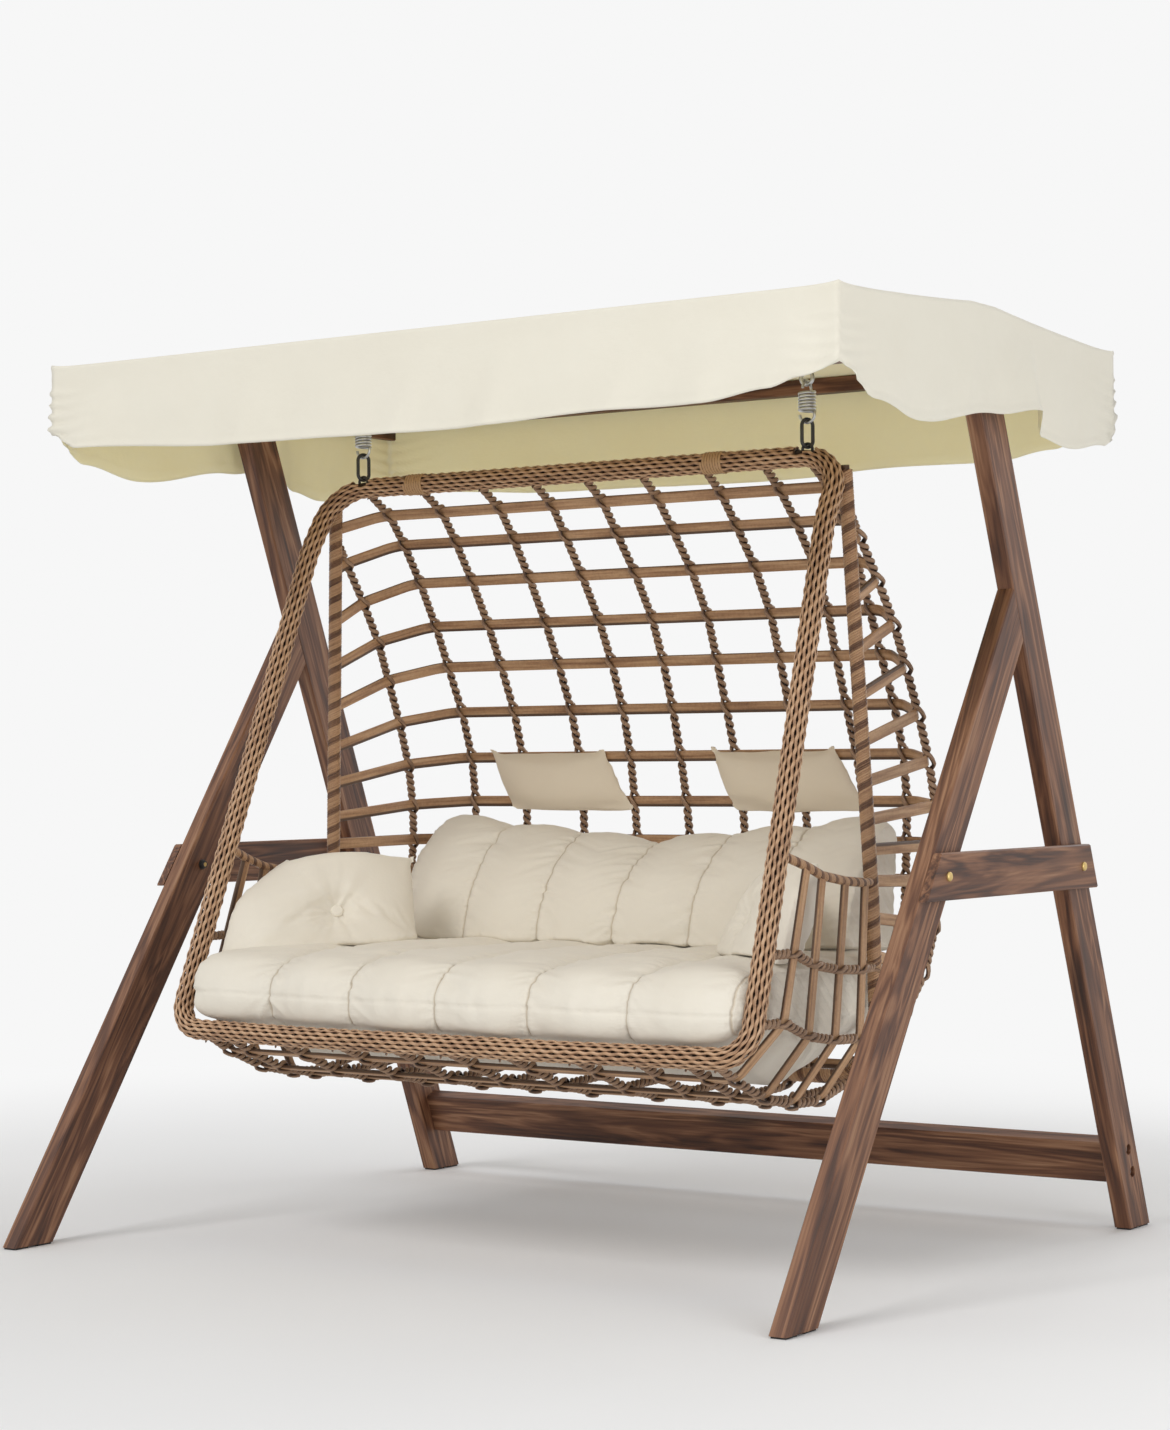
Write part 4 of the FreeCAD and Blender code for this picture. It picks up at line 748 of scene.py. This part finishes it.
def bar_windings():
    """Binding bands on the top bar."""
    offs = (-band_half_width, band_half_width)
    bands = [[(bar_half_width * share + off, hang_y, bar_top) for off in offs] for share in band_shares]
    piece = wound("binding_bands", bands, [[0.0, 0.0]] * 2, band_cane, Radius=0.0238, Pitch=0.0068,
                  Wide=0.0068, Thick=0.0030, Step=0.0006)
    placed(piece, "basket", "band", "binding_bands")


def hoop_winding():
    """Flat cane wound round the posts and the bar under the seat."""
    first = Vector(hoop_line[0]).lerp(Vector(hoop_line[1]), hoop_start_share)
    right = [tuple(first), *hoop_line[1:]]
    lines = [right + mirrored(right[::-1])]
    bends = [[0.0, *hoop_bends, *hoop_bends[::-1], 0.0]]
    piece = wound("hoop_winding", lines, bends, wound_cane, Radius=0.0143, Pitch=0.042, Strands=8, Dark=3,
                  Wide=0.0054, Thick=0.0036, Step=0.0034)
    placed(piece, "basket", "wicker", "hoop_wrap")


def arms():
    """Arm rods from the loop's sides, over the strips, to the posts: cores with flat cane round them."""
    right = [tuple(loop_side_at(arm_front_z))]
    right += [(arm_x, y, z) for y, z in zip(strip_top_places, strip_tops)]
    right.append(tuple(hoop_at(strip_tops[-1])))
    lines = [right, mirrored(right[::-1])]
    bends = [[0.0] + [arm_bend] * len(strip_tops) + [0.0]] * 2
    cover = wound("arm_winding", lines, bends, wound_cane, Radius=0.0084, Pitch=0.030, Strands=5, Dark=2,
                  Wide=0.0058, Thick=0.0030, Step=0.0022)
    core = rod("arm_core", lines, bends, (0.0, 0.0, 1.0), 0.0150, 0.02)
    placed(cover, "basket", "wicker", "arm_rod_right", "arm_rod_left")
    placed(core, "basket", "wicker")


# Rails and strips
def rail_line(index):
    """Corners of a back rail from left to right, and the normal of the plane that it lies in."""
    height = bar_top - seat_low
    end = hoop_at(seat_low + height * rail_end_shares[index])
    corner = Vector((corner_half_width, hang_y + back_reach * rail_reach_shares[index],
                     seat_low + height * rail_rise_shares[index]))
    slope = (corner.z - end.z) / (corner.y - end.y)
    right = [tuple(end)]
    side_y = corner.y - corner_chamfer
    if side_y - end.y > least_side:
        right.append((end.x, side_y, end.z + slope * (side_y - end.y)))
    right.append(tuple(corner))
    return mirrored(right) + right[::-1], Vector((0.0, -slope, 1.0)).normalized()


def strip_line(index):
    """Corners of a seat strip from the left arm, under the seat, to the right arm, and its plane's normal."""
    top = Vector((arm_x, strip_top_places[index], strip_tops[index]))
    floor = Vector((strip_floor_x, *strip_floors[index]))
    lean = (top.y - floor.y) / (top.z - floor.z)
    bend_z = strip_bend_heights[index]
    right = [tuple(top), (strip_bend_x, floor.y + lean * (bend_z - floor.z), bend_z), tuple(floor)]
    return mirrored(right) + right[::-1], Vector((0.0, 1.0, -lean)).normalized()


def flat_canes(name, routes, bend, tones, flips, edge, step, *stands_for):
    """Flat canes along routes, each in its own plane."""
    lines = [line for line, normal in routes]
    path = path_mesh(name, lines, bend=[[0.0] + [bend] * (len(line) - 2) + [0.0] for line in lines],
                     face=[[tuple(normal)] * len(line) for line, normal in routes],
                     tone=[[tone] * len(line) for tone, line in zip(tones, lines)],
                     flip=[[flip] * len(line) for flip, line in zip(flips, lines)])
    piece = grown(name, path, flattening, Wide=rail_width, Thick=rail_thickness, Round=edge, Step=step,
                  Finish=rail_cane)
    placed(piece, "basket", "rail_strip", *stands_for)


def rails_and_strips():
    """Flat canes of the back and the seat."""
    rails = range(len(rail_end_shares))
    # flip moves the painted-shade edge line to the other edge on these rails.
    flips = [0.5 * (index in flipped_rails) for index in rails]
    flat_canes("back_rails", [rail_line(index) for index in rails], rail_bend,
               [1.7 * index for index in rails], flips, 0.0040, 0.012,
               "lower_rails", *["back_rail_%02d" % (n + 1) for n in range(10)])
    strips = range(len(strip_tops))
    flat_canes("seat_strips_rounded", [strip_line(index) for index in strips], strip_bend,
               [1.3 * index + 0.6 for index in strips], [0.0] * len(strips), 0.0042, 0.010, "seat_strips")


# Ropes
def twined(points, across, spread):
    """Path of a twined rope through crossings: its points, turns, spreads and cross lines.

    At a crossing one strand passes before and one behind what they cross; between two crossings they
    make a whole number of half turns. spread gives the half opening at each crossing."""
    line, turns, spreads = [], [], []
    turn = 0.0
    points = [Vector(point) for point in points]
    half = rail_width * 0.45
    clear = rail_width / 2 + rope_clear
    for index, point in enumerate(points):
        if index:
            way = point - points[index - 1]
            back = way.normalized()
            turn += max(1, round(way.length / rope_lay)) * math.pi
            line += [point - back * clear, point - back * half]
            turns += [turn - rope_lean * 1.5, turn - rope_lean]
            spreads += [strand_radius, spread[index]]
        if index + 1 < len(points):
            ahead = (points[index + 1] - point).normalized()
            line += [point + ahead * half, point + ahead * clear]
            turns += [turn + rope_lean, turn + rope_lean * 1.5]
            spreads += [spread[index], strand_radius]
    return [tuple(p) for p in line], turns, spreads, [across] * len(line)


def back_rope(x):
    """Route of a rope: top bar, down the back rails, under the seat, up to the front bar."""
    points, spread = [(x, hang_y, bar_top)], [bar_spread]
    for rise, reach in zip(rail_rise_shares, rail_reach_shares):
        wander = rope_wander * math.sin(5.1 * len(points) + 37.0 * x)
        points.append((x + wander, hang_y + back_reach * reach, seat_low + (bar_top - seat_low) * rise))
        spread.append(rail_spread)
    points.append((x, hoop_line[3][1], hoop_line[3][2] - rope_under_hoop))
    points += [(x, y, z) for y, z in strip_floors[::-1]] + [(x, front_bar_y(x), front_z)]
    spread += [strand_radius] + [rail_spread] * len(strip_floors) + [bar_spread]
    return twined(points, (1.0, 0.0, 0.0), spread)


def side_rope():
    """Route of the right side rope down the bends next to the rails' ends."""
    lines = [rail_line(index)[0] for index in range(1, len(rail_end_shares))]
    points = [Vector(line[-2]) for line in lines if len(line) == 6]
    first = points[0] + (points[0] - points[1]) * 0.5
    last = points[-1] + (points[-1] - points[-2]) * 0.5
    spread = [strand_radius] + [rail_spread] * len(points) + [strand_radius]
    return twined([first] + points + [last], (0.0, 1.0, 0.0), spread)


def arm_rope(share):
    """Route of a right arm rope across the strips, share of the way down to their bends."""
    points = []
    for index in range(len(strip_tops)):
        bend, top = strip_line(index)[0][-2:]
        points.append(Vector(top).lerp(Vector(bend), share))
    spread = [loop_side_spread] + [rail_spread] * len(points) + [post_spread]
    points = [loop_side_at(points[0].z)] + points + [hoop_at(points[-1].z)]
    return twined(points, (0.0, 0.0, 1.0), spread)


def floor_rope():
    """Route of the right rope along the seat's lower corner."""
    points = [(strip_floor_x, y, z) for y, z in strip_floors]
    start = (strip_floor_x, front_bar_y(strip_floor_x), front_z)
    spread = [bar_spread] + [rail_spread] * len(points) + [hoop_spread]
    return twined([start] + points + [hoop_line[3]], (1.0, 0.0, 0.0), spread)


def rope_piece(name, routes, node):
    """One piece of several ropes."""
    lines, turns, spreads, across = [list(part) for part in zip(*routes)]
    bends = [[0.0] + [rope_bend] * (len(line) - 2) + [0.0] for line in lines]
    mesh = path_mesh(name, lines, bend=bends, turn=turns, spread=spreads, across=across)
    piece = grown(name, mesh, twining, Strand=strand_radius, Step=0.0036, Finish=rope_cane)
    placed(piece, "basket", "rope", node)


def ropes():
    """Twined ropes of the back, the seat and the sides."""
    back = [back_rope(rope_half_span * share) for share in rope_shares]
    rope_piece("back_ropes_twined", back, "back_ropes")
    right = [side_rope()] + [arm_rope(share) for share in side_row_shares] + [floor_rope()]
    rope_piece("side_ropes_twined", right + [(mirrored(line), *rest) for line, *rest in right], "side_ropes")


# Springs
def merged_copy(name, node, made):
    """Copy of a CAD node's mesh with its loose triangles joined, and its own finish."""
    mesh = bpy.data.meshes.new(name)
    shape = bmesh.new()
    shape.from_mesh(nodes[node].data)
    bmesh.ops.remove_doubles(shape, verts=shape.verts, dist=1e-5)
    shape.to_mesh(mesh)
    shape.free()
    mesh.shade_smooth()
    mesh.materials.append(made)
    return shown(name, mesh)


def springs():
    """Coil springs that hang between the hangers and the links, copied from the CAD springs."""
    for side, x in (("right", hang_half_span), ("left", -hang_half_span)):
        piece = merged_copy("coil_spring_" + side, "spring_" + side, bright_steel)
        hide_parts("spring_" + side)
        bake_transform(piece)


# Cushions
def swollen(piece, held, cap):
    """Piece blown up as a stuffed cover; held says how firmly a point is sewn down, cap how far it moves."""
    start = [vertex.co.copy() for vertex in piece.data.vertices]
    group = piece.vertex_groups.new(name="sewn")
    for index, place in enumerate(start):
        hold = held(place)
        if hold > 0.01:
            group.add([index], hold, "REPLACE")
    modifier = piece.modifiers.new("cover", "CLOTH")
    modifier.settings.effector_weights.gravity = 0.0
    for key, value in cover_settings.items():
        setattr(modifier.settings, key, value)
    modifier.point_cache.frame_start = 1
    modifier.point_cache.frame_end = swell_frames
    for step in range(1, swell_frames + 1):
        scene.frame_set(step)
    applied(piece)
    scene.frame_set(1)
    for vertex, place in zip(piece.data.vertices, start):
        move = vertex.co - place
        if move.length > cap:
            vertex.co = place + move * (cap / move.length)


def smoothed(piece, rounds):
    """Piece with its skin evened out."""
    shape = bmesh.new()
    shape.from_mesh(piece.data)
    for step in range(rounds):
        bmesh.ops.smooth_vert(shape, verts=shape.verts, factor=0.5, use_axis_x=True, use_axis_y=True,
                              use_axis_z=True)
    shape.to_mesh(piece.data)
    shape.free()
    piece.data.shade_smooth()


def worked(piece, lift):
    """Piece with each point moved along its normal by lift(place, normal)."""
    vertices = piece.data.vertices
    moves = [vertex.normal * lift(vertex.co, vertex.normal) for vertex in vertices]
    for vertex, move in zip(vertices, moves):
        vertex.co += move


def seam_off(x, half_width):
    """Distance across to the nearest channel seam."""
    spacing = 2 * half_width / channels
    return abs((x + half_width + spacing / 2) % spacing - spacing / 2)


def seam_hold(x, half_width):
    """1 on a channel seam, falling to 0 beside it."""
    return max(0.0, 1.0 - seam_off(x, half_width) / seam_reach)


def rough(*place):
    """Noise at a place."""
    return noise.noise(Vector(place))


def fade(value, width):
    """1 at nought, falling off as a bell."""
    return math.exp(-(value / width) ** 2)


def channel_creases(half_width, front_seam):
    """Lift of a channelled cushion: stitched grooves, puckers that run out from them, a soft rumple."""
    def lift(place, normal):
        off = seam_off(place.x, half_width)
        along = place.y + place.z
        slant = along + 0.7 * off
        pucker = rough(place.x * 9.0, slant * 22.0, 4.0)
        pucker += 0.5 - 1.7 * abs(rough(place.x * 10.0, slant * 30.0, 14.0))
        soft = rough(place.x * 7.0, along * 9.0, 9.0)
        move = 0.0062 * pucker * math.exp(-off / 0.050) + 0.0050 * soft
        move -= 0.0060 * fade(off, 0.0055) + 0.0060 * fade(off, 0.020)
        if front_seam and normal.y < -0.35:
            rise = place.z - front_seam - 0.004 * rough(place.x * 6.0, 5.0, 1.0)
            stitch = rough(place.x * 30.0, 2.0, 6.0)
            move += 0.0055 * stitch * math.exp(-abs(rise) / 0.026) - 0.0026 * fade(rise, 0.0040)
        return move
    return lift


def button_creases(middle, face):
    """Lift of a pillow: folds that run out from its button, a soft rumple."""
    across = face.orthogonal().normalized()
    upward = face.cross(across)

    def lift(place, normal):
        away = place - middle
        turn = math.atan2(away.dot(upward), away.dot(across))
        fold = noise.noise(Vector((math.cos(turn), math.sin(turn), 0.6)) * 3.1)
        fold *= max(0.0, normal.dot(face)) * math.exp(-away.length / 0.095)
        return 0.0085 * fold + 0.0045 * noise.noise(place * 7.0)
    return lift


def smooth_share(low, high, value):
    """0 below low, 1 above high, eased between."""
    share = min(1.0, max(0.0, (value - low) / (high - low)))
    return share * share * (3.0 - 2.0 * share)


def seat_fullness(piece):
    """Seat ends plumped out over the front bar, pressed in where the loop's tube runs."""
    corner = Vector((front_half_width, front_y, front_z))
    side = (Vector((loop_bend_half_width, loop_bend_y, bar_top - loop_bend_drop)) - corner).normalized()
    bow = Vector((front_bow_half_width, front_bar_y(front_bow_half_width), front_z))
    ahead = (bow - corner).normalized()
    inner = (side + ahead).normalized()
    round_off = loop_bends[2]
    tube = [corner + side * 0.6, corner + side * round_off, corner + inner * round_off * 0.41,
            corner + ahead * round_off, bow]
    for vertex in piece.data.vertices:
        place = vertex.co
        end = smooth_share(0.50, 0.70, abs(place.x)) * smooth_share(0.30, 0.52, -place.y)
        end *= smooth_share(0.45, 0.53, place.z)
        spot = Vector((abs(place.x) + 0.036 * end, place.y - 0.010 * end, place.z))
        for start, stop in zip(tube, tube[1:]):
            run = stop - start
            share = min(1.0, max(0.0, (spot - start).dot(run) / run.length_squared))
            near = start + run * share
            off = spot - near
            if off.length < loop_radius:
                spot = near + off.normalized() * loop_radius
        vertex.co = (math.copysign(spot.x, place.x), spot.y, spot.z)


def pillow_fullness(piece, middle):
    """Left pillow spread out towards the front, its top domed and its corners drooping."""
    for vertex in piece.data.vertices:
        off = vertex.co - middle
        ahead = -(off.x + off.y) / math.sqrt(2.0)
        spread = smooth_share(0.0, 0.17, ahead) * (1.0 - smooth_share(0.02, 0.16, off.z))
        high = smooth_share(0.0, 0.17, off.z)
        droop = smooth_share(0.05, 0.20, abs(ahead))
        inside = 0.016 * smooth_share(0.06, 0.21, -ahead) * (1.0 - smooth_share(-0.10, 0.15, off.z))
        vertex.co.x -= inside
        vertex.co.y -= 0.088 * spread + inside
        vertex.co.z += high * (0.030 * fade(ahead, 0.10) - 0.026 * droop) - 0.030 * spread


def head_fullness(piece, low, high):
    """Head pillow drawn out to its corners, its top leaning to the left."""
    middle = (low + high) / 2
    for vertex in piece.data.vertices:
        rise = (vertex.co.z - middle.z) * 1.20
        vertex.co.x = middle.x + (vertex.co.x - middle.x) * 1.09 - 0.21 * rise - 0.015
        vertex.co.z = middle.z + rise


def stuffed(name, node, made, voxel, held, draw, cap, lift, even=1):
    """Cushion: the CAD form drawn in a little, then blown up against its seams and creased."""
    piece = modified(merged_copy(name, node, made), "REMESH", mode="VOXEL", voxel_size=voxel)
    smoothed(piece, 4)
    worked(piece, lambda place, normal: -draw * (1.0 - min(1.0, held(place))))
    swollen(piece, held, cap)
    smoothed(piece, even)
    modified(piece, "SUBSURF", levels=1, render_levels=1)
    worked(piece, lift)
    placed(piece, "basket", "cushion_cloth", node)
    return piece


def cushions():
    """Seat and back cushions, side pillows and head pillows."""
    def seat_held(place):
        return 1.0 if place.z < seat_sewn_below else seam_hold(place.x, seat_half_width)

    def back_held(place):
        sewn = place.z < back_sewn_below or place.y > back_sewn_behind
        return 1.0 if sewn else seam_hold(place.x, back_half_width)

    def pillow_held(place):
        return 1.0 if (place - button).length < button_reach or place.z < low.z + pillow_sewn_height else 0.0

    def head_held(place):
        return 1.0 if place.y > head_sewn_behind else 0.0

    seat = stuffed("seat_cushion_cover", "seat_cushion", seat_cloth, 0.010, seat_held, 0.006, 0.026,
                   channel_creases(seat_half_width, seat_front_seam))
    seat_fullness(seat)
    stuffed("back_cushion_cover", "back_cushion", back_cloth, 0.010, back_held, 0.005, 0.026,
            channel_creases(back_half_width, 0.0))
    buttons = merged_copy("covered_buttons", "pillow_buttons", pillow_cloth)
    placed(buttons, "basket", "cushion_cloth", "pillow_buttons")
    for side, sign in (("right", 1), ("left", -1)):
        low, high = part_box("side_pillow_" + side)
        spots = [vertex.co for vertex in buttons.data.vertices if vertex.co.x * sign > 0]
        button = sum(spots, Vector()) / len(spots)
        level = math.cos(pillow_tip)
        face = Vector((-sign * level * math.sin(pillow_turn), -level * math.cos(pillow_turn),
                       math.sin(pillow_tip)))
        pillow = stuffed("side_pillow_cover_" + side, "side_pillow_" + side, pillow_cloth, 0.008, pillow_held,
                         0.004, 0.022, button_creases(button, face))
        if sign < 0:
            pillow_fullness(pillow, (low + high) / 2)
        head = stuffed("head_pillow_cover_" + side, "head_pillow_" + side, head_cloth, 0.006, head_held,
                       0.002, 0.007, lambda place, normal: 0.0030 * noise.noise(place * 14.0), 4)
        head_fullness(head, *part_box("head_pillow_" + side))


# Canopy
def eased_between(places, values, spot):
    """Value at a spot, eased from one entry of a table to the next."""
    for low, high, first, last in zip(places, places[1:], values, values[1:]):
        if spot <= high:
            share = (1 - math.cos(math.pi * (spot - low) / (high - low))) / 2
            return first + (last - first) * share
    return values[-1]


def roof_at(x, y):
    """Height of the roof cloth: up from an edge to the ridge, slack between, a little rumpled."""
    if ridge_front <= y <= ridge_rear:
        return cloth_ridge
    low, high = (cloth_front, ridge_front) if y < ridge_front else (cloth_rear, ridge_rear)
    share = (y - low) / (high - low)
    slack = 0.004 * rough(x * 5.0, y * 9.0, 3.0) - 4 * roof_sag
    return cloth_edge + (cloth_ridge - cloth_edge) * share + slack * share * (1 - share)


def hem_spots():
    """Columns round the canopy's edge: place, way out, drop of the hem, push out, distance to a corner."""
    ends = (front_place_shares, front_drop_shares, front_push_shares, cloth_side, canopy_steps[0])
    sides = (side_place_shares, side_drop_shares, side_push_shares, cloth_half, canopy_steps[1])
    edges = (((0, -1), front_drop, ends, 1), ((1, 0), side_drop, sides, 1),
             ((0, 1), rear_drop, ends, -1), ((-1, 0), side_drop, sides, -1))
    spots = []
    for way, full_drop, (places, drops, pushes, length, count), run in edges:
        for step in range(count):
            spot = run * (2 * step / count - 1)
            x, y = cloth_side * (way[0] or spot), cloth_middle + cloth_half * (way[1] or spot)
            out = Vector((*way, 0.0))
            if step == 0:
                out = Vector((math.copysign(1.0, x), math.copysign(1.0, y), 0.0)) * 0.7
            spots.append(((x, y), out, full_drop * eased_between(places, drops, spot),
                          eased_between(places, pushes, spot), (1 - abs(spot)) * length))
    return spots


def hem_reach(row, along, fall, push, near):
    """How far the hanging edge stands out: soft folds, gathers at the corners, creases, a hem at its end."""
    share = row / hem_rows
    hang = max(0.0, (share - hem_start) / (1 - hem_start))
    fold = 0.5 + 0.5 * math.sin(along * 11.0 + 1.6 * math.sin(along * 3.1))
    quiet = 1 - math.exp(-near / 0.10)
    reach = hem_bulge * (push + 0.34 * fold * quiet) * hang ** 1.15
    uneven = 1.5 * rough(along * 5.0, fall * 20.0, 7.0)
    gather = math.sin(fall * 225.0 + near * 26.0 + uneven)
    reach += 0.0060 * math.exp(-near / 0.050) * gather * (0.45 + hang)
    reach -= 0.0030 * fade(fall - 0.036, 0.008) * math.exp(-near / 0.12)
    reach += 0.0034 * rough(along * 6.0, share * 3.0, 1.0) * hang
    crease = abs(rough(along * 4.6 + fall * 2.4, fall * 1.5, 11.0))
    reach += 0.0110 * (0.5 - min(1.0, 2.2 * crease)) * hang
    reach += 0.0016 * (row > hem_rows - 2) - 0.0012 * (row == hem_rows - 2)
    return max(reach, 0.0003)


def canopy_mesh():
    """One layer of cloth over the ridge and the rails, with its hanging edge all round."""
    across, deep = canopy_steps
    points, faces, index = [], [], {}
    for j in range(deep + 1):
        for i in range(across + 1):
            x, y = cloth_side * (2 * i / across - 1), cloth_middle + cloth_half * (2 * j / deep - 1)
            index[i, j] = len(points)
            corner = math.hypot(cloth_side - abs(x), cloth_half - abs(y - cloth_middle))
            points.append((x, y, roof_at(x, y) + 0.006 * math.exp(-corner / 0.03)))
    for j in range(deep):
        for i in range(across):
            faces.append((index[i, j], index[i + 1, j], index[i + 1, j + 1], index[i, j + 1]))
    rim = [index[i, 0] for i in range(across)] + [index[across, j] for j in range(deep)]
    rim += [index[i, deep] for i in range(across, 0, -1)] + [index[0, j] for j in range(deep, 0, -1)]
    spots = hem_spots()
    before = rim
    for row in range(1, hem_rows + 1):
        current = []
        for column, ((x, y), out, drop, push, near) in enumerate(spots):
            top = points[rim[column]][2]
            fall = (top - cloth_edge + drop) * row / hem_rows
            reach = hem_reach(row, column * 2 * cloth_side / across, fall, push, near)
            current.append(len(points))
            points.append((x + out.x * reach, y + out.y * reach, top - fall))
        for column in range(len(rim)):
            after = (column + 1) % len(rim)
            faces.append((before[after], before[column], current[column], current[after]))
        before = current
    mesh = bpy.data.meshes.new("canopy_sheet")
    mesh.from_pydata(points, [], faces)
    mesh.validate()
    return mesh


def canopy():
    """Canopy sheet with canvas outside; its inner face is the cloth painted brighter and yellower, painted
    light for daylight shining through it.
    """
    mesh = canopy_mesh()
    sheet = shown("canopy_sheet", mesh)
    shape = bmesh.new()
    shape.from_mesh(mesh)
    bmesh.ops.recalc_face_normals(shape, faces=shape.faces)
    if sum(face.normal.z for face in shape.faces) < 0:
        bmesh.ops.reverse_faces(shape, faces=shape.faces)
    flat_area = sum(face.calc_area() for face in shape.faces)
    shape.to_mesh(mesh)
    shape.free()
    mesh.materials.append(canopy_canvas)
    mesh.materials.append(canopy_underside_glow)
    modified(sheet, "SOLIDIFY", thickness=cloth_thickness, offset=-1.0, material_offset=1,
             material_offset_rim=0)
    placed(sheet, "stand", "canopy_cloth", "canopy_roof", "valance_front", "valance_rear", "valance_right",
           "valance_left")


# Camera, light and floor
def camera():
    """Camera at the photograph's place."""
    yaw, pitch, roll = view_turns
    ahead = Vector((math.sin(yaw) * math.cos(pitch), math.cos(yaw) * math.cos(pitch), math.sin(pitch)))
    level = Vector((math.cos(yaw), -math.sin(yaw), 0.0))
    upright = level.cross(ahead)
    right = level * math.cos(roll) + upright * math.sin(roll)
    up = upright * math.cos(roll) - level * math.sin(roll)
    data = bpy.data.cameras.new("camera")
    data.lens = view_lens
    data.sensor_width = 36.0
    data.clip_end = 60.0
    eye = shown("camera", data)
    turn = Matrix((right, up, -ahead)).transposed().to_4x4()
    eye.matrix_world = Matrix.Translation(view_place) @ turn
    scene.camera = eye


def lamp(name, place, target, size, power):
    """Soft square lamp that faces a target."""
    data = bpy.data.lights.new(name, "AREA")
    data.shape = "SQUARE"
    data.size = size
    data.energy = power
    light = shown(name, data)
    light.location = place
    light.rotation_euler = (Vector(target) - Vector(place)).to_track_quat("-Z", "Y").to_euler()


def seen_rays(tree, *kinds):
    """1 for rays of some kinds, 0 for others."""
    rays = add(tree, "ShaderNodeLightPath").outputs
    first, *others = [Value(rays["Is %s Ray" % kind]) for kind in kinds]
    for other in others:
        first = first.maths("MAXIMUM", other)
    return first


def studio():
    """Pale floor that fades into a white surround, and soft lamps."""
    made, tree = new_finish("floor_white")
    place = object_place(tree)
    finish(made, ramp(speckle(place, 0.6), (0.3, 0.84, 0.84, 0.84), (0.7, 0.87, 0.87, 0.87)), 0.8)
    far = place.stretched(1.0, 1.0, 0.0).vector("LENGTH", socket="Value")
    far = far.span(1.3, 4.2, 0.0, 1.0, interpolation_type="SMOOTHSTEP")
    glow = output(tree, "ShaderNodeEmission", {"Color": (0.93, 0.93, 0.93, 1.0), "Strength": 1.0})
    lit = Value(tree.nodes["Principled BSDF"].outputs[0])
    seen = far * seen_rays(tree, "Camera", "Glossy")
    both = output(tree, "ShaderNodeMixShader", {0: seen, 1: lit, 2: glow})
    fill(tree.nodes["Material Output"], {"Surface": both})
    mesh = bpy.data.meshes.new("floor")
    mesh.from_pydata([(-30, -30, 0), (30, -30, 0), (30, 30, 0), (-30, 30, 0)], [], [(0, 1, 2, 3)])
    mesh.materials.append(made)
    floor = shown("floor", mesh)
    world = bpy.data.worlds.new("studio")
    world.use_nodes = True
    level = seen_rays(world.node_tree, "Camera", "Glossy", "Transmission").span(0.0, 1.0, 0.50, 0.93)
    fill(world.node_tree.nodes["Background"], {"Strength": level, "Color": (1.0, 1.0, 1.0, 1.0)})
    scene.world = world
    lamp("key", (-4.8, -21.6, 20.4), (0.0, 0.0, 0.8), 11.0, 2900.0)
    lamp("fill", (5.5, -2.5, 1.8), (0.0, 0.0, 1.0), 3.0, 78.0)
    lamp("top", (0.0, 0.3, 9.0), (0.0, 0.0, 0.0), 4.0, 70.0)
    lamp("rim", (0.8, 5.2, 2.6), (0.0, 0.0, 1.0), 3.0, 50.0)
    scene.view_settings.view_transform = "Standard"


camera()
studio()
loop_braid()
bar_windings()
hoop_winding()
arms()
rails_and_strips()
ropes()
springs()
canopy()
cushions()
